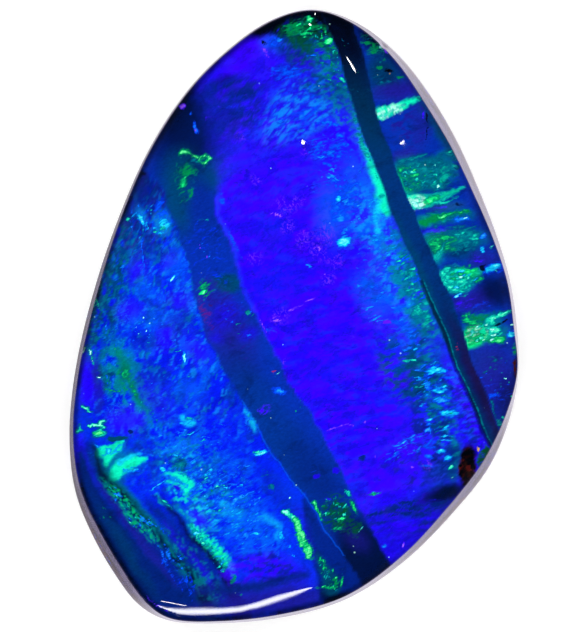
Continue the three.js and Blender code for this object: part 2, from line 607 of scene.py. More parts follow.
# Cloudy patches of a ground hue that cover a share of an ellipse. Grain is their length and width in mm.
def cloud(canvas, hue, x, y, length, width, turn, grain, lean, share, strength, seed):
    far = max(length, width) * 1.4
    near = (abs(canvas["x"] - x) < far) & (abs(canvas["y"] - y) < far)
    where = np.nonzero(near & (canvas["clip"] > 0))[0]
    across, down = canvas["x"][where], canvas["y"][where]
    cosine, sine = math.cos(math.radians(lean)), math.sin(math.radians(lean))
    along = (across * cosine + down * sine) / grain[0]
    aside = (down * cosine - across * sine) / grain[1]
    places = [Vector((a, b, seed * 5.3)) for a, b in zip(along, aside)]
    drift = np.array([noise.fractal(place, 0.9, 2.1, 4) for place in places])
    cover = ease((drift - np.quantile(drift, 1 - share)) / (0.8 * drift.std()) + 0.5)
    cosine, sine = math.cos(math.radians(turn)), math.sin(math.radians(turn))
    along = ((across - x) * cosine + (down - y) * sine) / length
    aside = ((down - y) * cosine - (across - x) * sine) / width
    inside = ease((1.3 - np.sqrt(along * along + aside * aside)) / 0.6)
    lay(canvas, "washes", hue, where, cover * inside, strength)


# Several strokes of one tool, in the order they are painted
def strokes(canvas, tool, rows):
    for row in rows:
        tool(canvas, *row)


def lines(canvas, kind, rows):
    for row in rows:
        line(canvas, kind, *row)


# Noise with its grain turned and drawn out, each size in mm
def makeGrainGroup():
    group, given, out = newGroup(
        "grain",
        [
            ("Face", "Vector", None),
            ("Turn", "Vector", None),
            ("Size", "Vector", None),
            ("Detail", "Float", 3.0),
            ("Roughness", "Float", 0.55),
            ("Distortion", "Float", 0.0),
            ("Contrast", "Float", 1.0),
        ],
        [("Grain", "Float")],
    )
    local = addNode(
        group,
        "ShaderNodeMapping",
        {"Vector": given["Face"], "Rotation": given["Turn"], "Scale": given["Size"]},
        vector_type="TEXTURE",
    )
    cloud = addNode(
        group,
        "ShaderNodeTexNoise",
        {
            "Vector": local.outputs[0], "Scale": 1.0, "Detail": given["Detail"],
            "Roughness": given["Roughness"], "Distortion": given["Distortion"],
        },
    )
    even = calculate(group, "SUBTRACT", cloud.outputs["Fac"], 0.5)
    strong = calculate(group, "MULTIPLY_ADD", even, given["Contrast"], 0.5)
    group.links.new(strong, out["Grain"])
    return group


# Pale specks of dust, one in some of the cells
def makeDustGroup():
    group, given, out = newGroup(
        "dust",
        [("Face", "Vector", None), ("Apart", "Float", 0.4), ("Share", "Float", 0.2)],
        [("Dust", "Float")],
    )
    cells = addNode(
        group,
        "ShaderNodeTexVoronoi",
        {"Vector": given["Face"], "Scale": calculate(group, "DIVIDE", 1.0, given["Apart"])},
    )
    chance = addNode(group, "ShaderNodeSeparateColor", {"Color": cells.outputs["Color"]}).outputs
    reach = calculate(group, "MULTIPLY_ADD", chance["Green"], 0.06, 0.02)
    near = ramp(group, calculate(group, "DIVIDE", cells.outputs["Distance"], reach), 1.4, 0.5)
    some = calculate(group, "LESS_THAN", chance["Red"], given["Share"])
    group.links.new(calculate(group, "MULTIPLY", near, some), out["Dust"])
    return group


# A loose scribble that keeps within its reach
def scribble(canvas, hue, x, y, reach, steps, half, strength, seed):
    dice = random.Random(seed)
    points = []
    angle = dice.uniform(0, math.tau)
    spotX, spotY = x + dice.uniform(-0.5, 0.5) * reach, y + dice.uniform(-0.5, 0.5) * reach
    for _ in range(steps):
        points.append((spotX, spotY, half * dice.uniform(0.4, 1.4)))
        angle += dice.uniform(-1.9, 1.9)
        if math.hypot(spotX - x, spotY - y) > reach * 0.8:
            angle = math.atan2(y - spotY, x - spotX) + dice.uniform(-0.6, 0.6)
        spotX += math.cos(angle) * reach * 0.45
        spotY += math.sin(angle) * reach * 0.32
    line(canvas, "flashes", hue, points, 0.03, strength)


# The painting goes from the left to the right. A row of strokes holds its tool's values in their order:
# mostly the hue, the place, the length and width to each side in mm and the turn in degrees, then the rest.

def paintLeft(canvas):
    strokes(canvas, wash, [
        ("ink", -4.6, 6.6, 2.2, 1.3, 55, 0.7, 1), ("indigo", -5.3, 5.0, 1.0, 0.5, 70, 0.8, 0.7),
        ("ultramarine", -5.4, 1.9, 0.8, 0.5, 80, 0.8, 0.6),
        ("ultramarine", -4.4, -0.6, 1.6, 0.9, 70, 0.9, 0.5), ("azure", -4.6, 0.9, 1.6, 0.9, 60, 0.9, 0.1),
        ("deepTeal", -6.6, 2.0, 1.5, 0.35, 76, 0.8, 0.6), ("deepTeal", -7.1, -0.1, 0.8, 0.4, 80, 0.8, 0.7),
        ("violetBlue", -7.35, -2.1, 0.95, 0.45, 92, 0.6, 1),
        ("deepTeal", -6.6, -2.3, 0.9, 0.5, 95, 0.5, 0.9),
        ("ultramarine", -3.0, -3.6, 1.0, 0.6, -50, 0.8, 0.6),
        ("ultramarine", -6.0, -3.5, 0.8, 0.4, 0, 0.8, 0.6), ("azure", -2.6, -5.6, 2.0, 1.2, -55, 0.9, 0.2),
        ("violetBlue", -1.2, -8.8, 0.9, 0.6, -30, 0.8, 0.5),
        ("ultramarine", -3.4, -6.9, 0.4, 0.3, -30, 0.6, 0.8),
        ("violetBlue", -7.5, -5.2, 1.1, 0.3, -72, 0.6, 0.9),
        ("ultramarine", -5.6, -7.5, 2.0, 0.3, -54, 0.5, 0.6),
        ("navy", -1.2, -10.3, 2.4, 0.35, 8, 0.5, 0.7),
    ])
    strokes(canvas, veil, [
        ("azure", -3.2, -4.5, 2.6, 3.5, 15, 0.05), ("sky", -3.2, -4.5, 2.4, 3.0, 15, 0.05),
        ("ultramarine", -4.6, -2.0, 4.0, 6.5, 15, 0.1), ("cyan", -2.9, -6.3, 1.8, 1.0, -50, 0.12),
        ("azure", -1.6, -7.6, 1.0, 0.7, -40, 0.2), ("cyan", -5.2, 3.2, 0.9, 0.9, 0, 0.24),
        ("aqua", -6.8, 0.6, 1.6, 0.3, 76, 0.24), ("teal", -6.6, 0.2, 2.4, 0.5, 78, 0.18),
        ("violet", -7.3, -2.2, 0.8, 0.3, 90, 0.35),
    ])
    strokes(canvas, cloud, [
        ("royal", -4.6, -0.5, 3.8, 8.0, 12, (1.1, 0.6), 80, 0.45, 0.9, 1),
        ("royal", -4.6, -0.5, 3.8, 7.5, 12, (0.5, 0.28), 60, 0.3, 0.7, 2),
        ("band", -4.4, -1.0, 3.6, 8.0, 12, (0.9, 0.45), 78, 0.22, 0.65, 3),
        ("azure", -4.3, 0.4, 2.4, 4.4, 12, (0.9, 0.36), 76, 0.25, 0.55, 4),
        ("teal", -4.7, 0.2, 3.0, 4.8, 12, (0.4, 0.2), 70, 0.1, 0.5, 50),
        ("sky", -4.6, -0.5, 3.2, 6.0, 12, (0.36, 0.14), 60, 0.08, 0.6, 51),
        ("sky", -4.4, 1.6, 1.3, 1.8, 20, (0.3, 0.16), 60, 0.14, 0.45, 16),
        ("deepTeal", -6.8, 0.8, 3.4, 0.7, 76, (0.36, 0.16), 80, 0.55, 0.8, 5),
        ("teal", -6.6, 0.6, 2.8, 0.6, 76, (0.22, 0.1), 80, 0.25, 0.45, 6),
        ("teal", -5.3, 3.0, 1.2, 0.9, 60, (0.22, 0.12), 60, 0.2, 0.5, 7),
        ("indigo", -5.2, 3.6, 1.6, 1.0, 60, (0.3, 0.15), 60, 0.4, 0.7, 17),
        ("navy", -4.9, 3.6, 1.8, 1.2, 60, (0.3, 0.15), 60, 0.35, 0.6, 65),
        ("teal", -5.9, -2.6, 1.8, 0.7, -70, (0.34, 0.2), 100, 0.45, 0.8, 8),
        ("royal", -2.8, -6.2, 3.2, 2.0, -52, (0.5, 0.22), 15, 0.45, 0.85, 9),
        ("azure", -3.2, -5.4, 2.6, 1.5, -52, (0.4, 0.16), 20, 0.28, 0.6, 10),
        ("teal", -3.0, -6.2, 2.6, 1.3, -52, (0.36, 0.14), 25, 0.2, 0.6, 11),
        ("cyan", -3.4, -6.1, 1.9, 0.8, -52, (0.34, 0.11), 25, 0.15, 0.6, 12),
        ("aqua", -3.7, -6.6, 1.4, 0.5, -60, (0.3, 0.1), 30, 0.16, 0.7, 18),
        ("royal", -1.8, -8.4, 1.6, 1.0, -40, (0.4, 0.2), 20, 0.4, 0.7, 13),
        ("azure", -1.5, -7.6, 1.4, 0.9, -40, (0.3, 0.16), 40, 0.45, 0.8, 14),
    ])
    strokes(canvas, wash, [
        ("violetBlue", -7.4, -2.3, 0.8, 0.3, 95, 0.5), ("indigo", -7.0, -2.4, 0.8, 0.2, 95, 0.7, 0.6),
        ("violetBlue", -6.0, -3.7, 0.6, 0.5, 0, 0.6, 0.9),
        ("violetBlue", -3.4, -7.2, 0.4, 0.25, -30, 0.7, 0.8), ("navy", -5.4, 4.4, 0.9, 0.5, 60, 0.8, 0.7),
        ("violetBlue", -5.64, 1.7, 0.36, 0.24, 80, 0.9, 0.8),
        ("violetBlue", -4.43, 1.95, 0.36, 0.24, 60, 0.9, 0.75),
        ("violetBlue", -5.9, 0.2, 0.45, 0.32, 0, 0.9, 0.8),
        ("violetBlue", -4.57, -0.7, 0.5, 0.34, 60, 0.9, 0.8),
        ("violetBlue", -4.07, 0.6, 0.44, 0.26, 0, 0.9, 0.7),
        ("violetBlue", -3.46, -1.27, 0.44, 0.3, -50, 0.9, 0.7),
        ("azure", -4.2, 1.7, 0.26, 0.4, 0, 0.9, 0.6), ("azure", -5.3, 0.95, 0.36, 0.3, 0, 0.9, 0.55),
        ("azure", -5.0, -0.15, 0.5, 0.34, 20, 0.9, 0.55), ("azure", -3.7, -2.6, 0.6, 0.34, -50, 0.9, 0.45),
        ("band", -5.1, 2.3, 0.3, 0.4, 0, 0.9, 0.6), ("band", -4.0, -0.2, 0.4, 0.3, 0, 0.9, 0.55),
        ("navy", -5.3, -0.85, 0.36, 0.24, 0, 0.9, 0.5), ("navy", -4.45, 4.2, 0.5, 0.9, 0, 0.9, 0.55),
        ("band", -5.2, -2.1, 0.5, 0.4, 60, 0.9, 0.5), ("ultramarine", -4.9, -3.0, 0.8, 0.4, -50, 0.9, 0.6),
        ("royal", -2.5, -4.4, 0.7, 0.5, -50, 0.9, 0.5), ("band", -0.5, -6.3, 0.9, 0.3, -55, 0.8, 0.45),
        ("cyan", -4.68, 3.33, 0.22, 0.36, 0, 0.8, 0.5), ("sky", -5.4, 3.6, 0.32, 0.14, 110, 0.9, 0.6),
        ("cyan", -2.2, -6.9, 0.5, 0.2, -30, 0.9, 0.35), ("teal", -2.9, -5.2, 0.7, 0.25, 20, 0.9, 0.2),
        ("royal", -1.7, -6.2, 0.6, 0.4, -40, 0.9, 0.35), ("royal", -3.0, -6.1, 0.5, 0.4, -40, 0.9, 0.3),
        ("sky", -4.0, -4.6, 0.5, 0.2, 20, 0.9, 0.4), ("ink", -5.6, 5.4, 0.9, 0.4, 62, 0.8, 0.85),
    ])
    strokes(canvas, veil, [
        ("thread", -4.6, 0.2, 1.2, 4.0, 12, 0.14), ("thread", -2.8, -6.0, 2.4, 1.2, -52, 0.28),
        ("thread", -6.3, -1.5, 2.6, 0.5, 84, 0.3),
    ])
    # Strokes that fan out over the lower left, rising to the right
    strokes(canvas, strew, [
        (["azure", "sky", "sky"], -2.3, -6.6, 2.3, 1.0, -52, 130, (0.22, 0.022), 24, 14, 0.7, 3),
        (["azure", "sky", "cyan"], -3.0, -4.8, 1.6, 1.0, -40, 70, (0.16, 0.026), 12, 25, 0.65, 4),
        (["azure", "sky"], -4.9, 0.4, 1.5, 2.2, 15, 40, (0.12, 0.03), 5, 40, 0.5, 5),
        (["sky", "cyan", "aqua"], -5.3, 3.3, 0.7, 0.7, 0, 40, (0.08, 0.04), 60, 60, 0.8, 6),
        (["azure", "blue"], -4.2, -8.4, 1.4, 0.35, -58, 40, (0.26, 0.022), -62, 12, 0.9, 7),
        (["sky", "pale"], -5.3, -0.4, 0.5, 0.4, 0, 26, (0.03, 0.02), 30, 60, 1.0, 8),
        (["cyan", "aqua", "sky"], -3.1, -5.9, 2.4, 1.1, -52, 90, (0.24, 0.018), 24, 26, 0.75, 9),
        (["cyan", "aqua", "sky"], -5.2, -0.8, 1.5, 3.0, 12, 40, (0.13, 0.016), 50, 60, 0.6, 2),
    ])
    strokes(canvas, flash, [
        ("black", -5.3, 5.25, 0.32, 0.13, 66, 1.4), ("violet", -4.85, 4.85, 0.12, 0.09, 0, 1.2),
        ("azure", -4.68, 3.6, 0.55, 0.22, 102, 0.9), ("cyan", -4.62, 3.3, 0.3, 0.24, 120, 1.0),
        ("aqua", -4.7, 3.15, 0.14, 0.1, 20, 0.9), ("aqua", -5.97, 3.55, 0.11, 0.08, 70, 1.0),
        ("cyan", -5.45, 3.45, 0.3, 0.08, 112, 1.0), ("azure", -5.42, 2.2, 0.7, 0.035, 94, 1.3, -0.3),
        ("azure", -3.95, 1.9, 0.42, 0.18, 84, 1.0), ("azure", -4.28, 1.55, 0.34, 0.26, 60, 0.8),
        ("cyan", -4.27, 1.32, 0.13, 0.045, 70, 1.3), ("aqua", -7.05, 0.65, 0.3, 0.05, 80, 1.1),
        ("aqua", -6.95, 0.5, 0.16, 0.035, 88, 1.1), ("pale", -7.5, -1.25, 0.14, 0.035, 74, 1.6),
        ("sky", -6.72, -0.38, 0.1, 0.035, 84, 1.3), ("pale", -6.92, -2.2, 0.09, 0.025, 0, 1.6),
        ("sky", -6.62, -2.22, 0.035, 0.12, 0, 0.9), ("leaf", -6.05, -2.2, 0.55, 0.26, 100, 0.8),
        ("green", -6.08, -2.1, 0.34, 0.12, 104, 0.75), ("green", -6.33, -1.22, 0.2, 0.03, 112, 1.3),
        ("green", -6.2, -1.5, 0.14, 0.03, 110, 1.3), ("green", -6.45, -2.62, 0.3, 0.03, 4, 1.2),
        ("navy", -5.75, -4.15, 0.09, 0.06, 30, 1.3), ("cyan", -3.88, -1.52, 0.17, 0.05, 88, 1.6),
        ("aqua", -6.9, -4.22, 0.26, 0.13, 10, 1.1), ("green", -6.95, -4.22, 0.2, 0.07, 5, 1.1),
        ("deepTeal", -6.35, -4.42, 0.5, 0.08, 6, 1.3), ("cyan", -3.72, -3.8, 0.24, 0.12, 8, 1.4),
        ("aqua", -3.75, -3.74, 0.14, 0.07, 8, 1.3), ("sky", -1.58, -3.72, 0.3, 0.22, -48, 1.0),
        ("cyan", -1.55, -3.62, 0.16, 0.1, -40, 0.9), ("cyan", -1.2, -4.77, 0.28, 0.08, 3, 1.1),
        ("aqua", -1.35, -4.75, 0.12, 0.05, 3, 1.1), ("cyan", -4.68, -5.4, 0.11, 0.08, 0, 1.4),
        ("teal", -4.12, -5.3, 0.34, 0.24, 70, 0.9), ("cyan", -4.0, -5.85, 0.46, 0.27, -38, 1.0),
        ("aqua", -3.85, -5.75, 0.3, 0.14, -42, 1.0), ("ultramarine", -4.16, -6.07, 0.15, 0.1, 10, 1.6),
        ("cyan", -4.8, -6.0, 0.34, 0.035, 24, 1.2), ("teal", -1.05, -5.55, 0.16, 0.12, 0, 0.4),
        ("teal", -0.8, -6.1, 0.14, 0.12, 0, 0.4), ("pale", -0.15, -6.43, 0.06, 0.025, 20, 1.6),
        ("azure", -1.2, -7.5, 0.7, 0.13, -22, 0.9), ("cyan", -0.5, -7.85, 0.22, 0.12, -60, 0.9),
        ("green", -2.95, -6.2, 0.08, 0.06, 0, 1.0),
    ])
    lines(canvas, "washes", [
        ("aqua", [
            (-4.55, -5.55, 0.03), (-4.1, -5.6, 0.12), (-3.7, -5.95, 0.16), (-3.9, -6.3, 0.08),
        ], 0.08, 0.9),
        ("aqua", [(-4.5, -5.9, 0.04), (-4.1, -6.0, 0.06), (-3.85, -6.15, 0.06)], 0.06, 0.8),
        ("cyan", [(-4.9, -6.3, 0.02), (-4.75, -6.6, 0.05), (-4.5, -6.75, 0.03)], 0.05, 0.85),
        ("cyan", [
            (-1.45, -7.25, 0.05), (-0.95, -7.15, 0.1), (-0.6, -7.5, 0.1), (-0.65, -7.9, 0.06),
        ], 0.14, 0.5),
        ("cyan", [(-3.95, -3.6, 0.03), (-3.75, -3.85, 0.12), (-3.55, -3.85, 0.06)], 0.06, 0.85),
        ("cyan", [(-1.75, -3.4, 0.04), (-1.55, -3.7, 0.12), (-1.4, -4.0, 0.04)], 0.08, 0.7),
    ])
    # The fans of cyan at the left end of the first dark line
    lines(canvas, "washes", [
        ("teal", [(-6.9, -5.1, 0.2), (-6.3, -5.3, 0.5), (-5.7, -5.2, 0.2)], 0.3, 0.7),
        ("aqua", [(-6.9, -4.95, 0.16), (-6.55, -4.85, 0.22), (-6.1, -4.5, 0.06)], 0.04, 1),
        ("aqua", [(-6.6, -5.35, 0.08), (-6.6, -5.0, 0.16), (-6.25, -4.75, 0.1)], 0.05, 1),
        ("aqua", [
            (-6.42, -5.75, 0.14), (-6.15, -5.45, 0.24), (-5.8, -5.28, 0.17), (-5.35, -5.1, 0.05),
        ], 0.05, 1),
        ("cyan", [(-6.2, -5.3, 0.1), (-5.85, -5.1, 0.06), (-5.5, -4.9, 0.02)], 0.05, 0.95),
    ])
    lines(canvas, "flashes", [
        ("cyan", [(-6.75, -4.95, 0.12), (-6.45, -4.9, 0.12), (-6.15, -4.62, 0.03)], 0.12, 0.5),
        ("cyan", [(-6.1, -5.6, 0.05), (-5.6, -5.5, 0.03)], 0.04, 0.7),
        ("cyan", [(-7.3, -4.95, 0.05), (-7.1, -5.05, 0.06)], 0.03, 1.1),
        ("cyan", [(-7.05, -4.68, 0.05), (-6.95, -4.78, 0.03)], 0.03, 1.1),
    ])
    strokes(canvas, scribble, [
        ("aqua", -7.45, -3.35, 0.26, 9, 0.035, 1.2, 11), ("aqua", -7.0, -3.85, 0.34, 14, 0.04, 1.2, 12),
        ("aqua", -7.75, -4.1, 0.2, 7, 0.035, 1.1, 13), ("cyan", -0.25, -8.2, 0.14, 7, 0.025, 1.2, 14),
        ("cyan", 0.05, -8.55, 0.1, 6, 0.025, 1.2, 15), ("lavender", -0.1, -9.2, 0.24, 9, 0.025, 1.1, 16),
    ])
    line(canvas, "washes", "leaf", [
        (-6.3, -1.1, 0.03), (-6.0, -2.0, 0.16), (-5.7, -2.7, 0.14), (-5.2, -3.4, 0.06),
    ], 0.14, 0.8)
    lines(canvas, "flashes", [
        ("green", [(-6.05, -1.8, 0.06), (-5.75, -2.6, 0.12), (-5.5, -3.0, 0.05)], 0.14, 0.6),
        ("aqua", [(-5.5, -3.0, 0.08), (-5.1, -3.35, 0.06), (-4.85, -3.9, 0.03)], 0.12, 0.5),
        ("pale", [(-7.4, -1.15, 0.018), (-7.25, -1.35, 0.02), (-7.12, -1.68, 0.012)], 0.02, 1.2),
    ])


# The two dark lines' ways down to the lower edge, [x, y, half their width] in mm
firstLine = [
    (-7.1, -4.66, 0.04), (-6.7, -5.66, 0.13), (-6.32, -6.2, 0.2), (-5.68, -6.8, 0.17),
    (-4.96, -7.7, 0.1), (-4.25, -8.41, 0.09), (-3.82, -9.06, 0.1), (-3.29, -9.77, 0.18),
    (-2.9, -10.5, 0.26),
]
secondLine = [
    (-4.89, -6.38, 0.03), (-4.43, -6.91, 0.06), (-3.82, -7.63, 0.08), (-3.18, -8.34, 0.11),
    (-2.64, -8.95, 0.15), (-2.29, -9.49, 0.17), (-2.1, -10.0, 0.2), (-1.9, -10.7, 0.3),
]


# The dark corner, and the dark lines that run down to the lower edge
def paintLowerLeft(canvas):
    lines(canvas, "washes", [
        ("navy", [(-7.3, -4.9, 0.2), (-6.3, -6.6, 0.4), (-4.7, -8.6, 0.6), (-3.9, -9.8, 0.7)], 0.3, 0.85),
        ("indigo", [
            (-6.9, -6.0, 0.1), (-6.0, -7.4, 0.16), (-4.9, -8.8, 0.2), (-4.3, -9.8, 0.2),
        ], 0.16, 0.5),
        ("navy", [(-5.2, -6.6, 0.1), (-4.2, -7.8, 0.4), (-3.2, -9.3, 0.6), (-2.8, -10.4, 0.7)], 0.3, 0.8),
        ("ultramarine", [(-4.6, -7.4, 0.04), (-3.6, -8.6, 0.12), (-3.0, -9.6, 0.12)], 0.14, 0.7),
        ("navy", [
            (-7.6, -5.0, 0.12), (-7.35, -6.2, 0.36), (-6.75, -7.6, 0.6), (-5.9, -9.0, 0.8),
            (-4.9, -10.3, 1.0), (-3.4, -10.8, 0.6),
        ], 0.14, 1),
    ])
    strokes(canvas, wash, [
        ("ink", -6.3, -9.0, 2.2, 0.5, -57, 0.8, 0.6), ("deepTeal", -6.0, -8.3, 1.6, 0.2, -57, 0.9, 0.4),
    ])
    lines(canvas, "washes", [
        ("deepTeal", [(x, y, half * 1.2) for x, y, half in firstLine], 0.14, 0.9),
        ("leaf", [(x + 0.12, y + 0.06, half) for x, y, half in firstLine[1:6]], 0.12, 0.3),
        ("ink", [(x - 0.05, y - 0.03, half * 0.9) for x, y, half in firstLine], 0.12, 0.9),
    ])
    strokes(canvas, cloud, [
        ("teal", -5.8, -7.0, 1.5, 0.26, -50, (0.16, 0.08), -40, 0.5, 0.7, 61),
        ("green", -5.8, -7.0, 1.4, 0.2, -50, (0.12, 0.06), -40, 0.22, 0.7, 62),
    ])
    strokes(canvas, strew, [
        (["aqua", "sky", "green"], -5.8, -7.0, 1.4, 0.2, -50, 26, (0.09, 0.03), -40, 40, 0.8, 22),
        (["sky", "aqua"], -5.3, -7.3, 0.5, 0.12, -40, 12, (0.2, 0.02), -42, 12, 0.8, 26),
    ])
    lines(canvas, "washes", [
        ("teal", [(x + 0.25, y + 0.1, half * 1.2) for x, y, half in secondLine[1:5]], 0.2, 0.7),
        ("aqua", [(x + 0.26, y + 0.1, half * 0.8) for x, y, half in secondLine[2:5]], 0.14, 0.45),
    ])
    strokes(canvas, cloud, [
        ("aqua", -2.95, -8.2, 1.1, 0.3, -50, (0.16, 0.08), 10, 0.4, 0.9, 66),
        ("bright", -2.6, -8.5, 0.7, 0.2, -50, (0.14, 0.07), 10, 0.25, 0.8, 67),
    ])
    line(canvas, "washes", "ink", [(x, y, half * 1.1) for x, y, half in secondLine], 0.12, 0.95)
    lines(canvas, "flashes", [
        ("aqua", [(-4.75, -6.5, 0.02), (-4.5, -6.72, 0.035), (-4.35, -6.9, 0.02)], 0.03, 0.8),
        ("aqua", [(-3.75, -7.35, 0.05), (-3.3, -7.85, 0.08), (-2.95, -8.3, 0.1)], 0.1, 0.5),
        ("green", [(-2.95, -8.2, 0.08), (-2.6, -8.65, 0.12), (-2.4, -9.0, 0.08)], 0.12, 0.5),
    ])
    strew(canvas, ["aqua", "cyan", "green"], -2.9, -8.3, 0.8, 0.22, -50, 46, (0.1, 0.035), 10, 60, 0.85, 24)
    line(canvas, "flashes", "leaf", [(-2.2, -9.1, 0.08), (-1.95, -9.9, 0.14)], 0.1, 0.6)
    strokes(canvas, cloud, [
        ("teal", -3.6, -8.9, 1.5, 0.5, -52, (0.26, 0.1), -50, 0.35, 0.55, 69),
        ("azure", -1.7, -7.6, 0.9, 0.6, -40, (0.3, 0.12), 20, 0.5, 0.8, 70),
    ])
    strokes(canvas, strew, [
        (["aqua", "cyan", "teal"], -2.6, -8.9, 0.5, 0.2, -50, 30, (0.1, 0.04), 10, 60, 0.85, 28),
        (["azure", "sky", "cyan"], -1.7, -7.5, 0.9, 0.6, -40, 60, (0.22, 0.035), 24, 30, 0.62, 29),
    ])
    # A painted highlight: a faint lavender line along the crease of the small facet at the lower left
    # corner
    line(canvas, "flashes", "lavender", [
        (-5.3, -9.95, 0.02), (-4.9, -10.35, 0.03), (-4.5, -10.6, 0.02),
    ], 0.03, 0.6)
    strokes(canvas, strew, [
        (["green", "leaf"], -6.9, -7.05, 0.4, 0.3, 0, 9, (0.04, 0.03), 0, 60, 0.7, 23),
        (["azure", "sky", "blue"], -4.15, -9.0, 1.0, 0.34, -62, 26, (0.42, 0.05), -66, 10, 0.5, 27),
    ])
    line(canvas, "washes", "indigo", [
        (-3.4, -9.75, 0.1), (-1.8, -9.7, 0.16), (0.2, -9.35, 0.12),
    ], 0.24, 0.75)
    wash(canvas, "violetBlue", -0.5, -9.05, 1.0, 0.45, -20, 0.8, 0.8)
    strokes(canvas, cloud, [
        ("violet", -1.4, -9.0, 1.2, 0.5, 10, (0.3, 0.2), 20, 0.4, 0.7, 15),
        ("navy", -0.8, -9.0, 1.2, 0.6, -20, (0.3, 0.14), 10, 0.3, 0.7, 55),
    ])
    wash(canvas, "indigo", -1.0, -10.2, 2.4, 0.5, 8, 0.5, 0.8)
    line(canvas, "washes", "navy", [
        (-3.3, -9.75, 0.1), (-1.6, -9.68, 0.16), (-0.4, -9.42, 0.18), (0.4, -9.2, 0.14),
    ], 0.14, 0.85)


# The dark strip beside the band's lower half, with a green wedge at its foot
def paintBandFoot(canvas):
    lines(canvas, "washes", [
        ("navy", [
            (0.35, -6.6, 0.08), (0.55, -7.2, 0.26), (0.9, -8.0, 0.5), (1.35, -8.9, 0.66),
            (1.9, -10.1, 0.85), (2.1, -10.8, 0.9),
        ], 0.1, 0.92),
        ("ultramarine", [(0.1, -6.9, 0.1), (0.75, -8.6, 0.12)], 0.25, 0.5),
        ("ink", [(1.2, -9.9, 0.2), (1.7, -10.2, 0.3)], 0.2, 0.9),
        ("deepTeal", [(0.85, -8.5, 0.08), (1.15, -9.1, 0.2), (1.35, -9.6, 0.3)], 0.12, 0.95),
    ])
    foot = ["green", "leaf", "teal", "aqua"]
    strew(canvas, foot, 1.2, -9.2, 0.6, 0.22, -62, 50, (0.09, 0.03), -50, 60, 0.85, 25)
    strokes(canvas, flash, [
        ("bright", 0.94, -8.62, 0.08, 0.05, 60, 1.1), ("green", 1.15, -9.62, 0.3, 0.04, 4, 1.0),
        ("green", 1.68, -9.45, 0.05, 0.2, -10, 0.9),
    ])
    lines(canvas, "flashes", [
        ("aqua", [(-0.45, -6.93, 0.05), (-0.25, -7.05, 0.12), (0.0, -7.3, 0.13)], 0.05, 1.0),
        ("green", [
            (0.0, -7.3, 0.1), (0.25, -7.8, 0.15), (0.5, -8.25, 0.19), (0.56, -8.5, 0.13),
        ], 0.05, 1.1),
        ("bright", [(0.25, -7.85, 0.05), (0.5, -8.3, 0.07)], 0.04, 0.9),
    ])


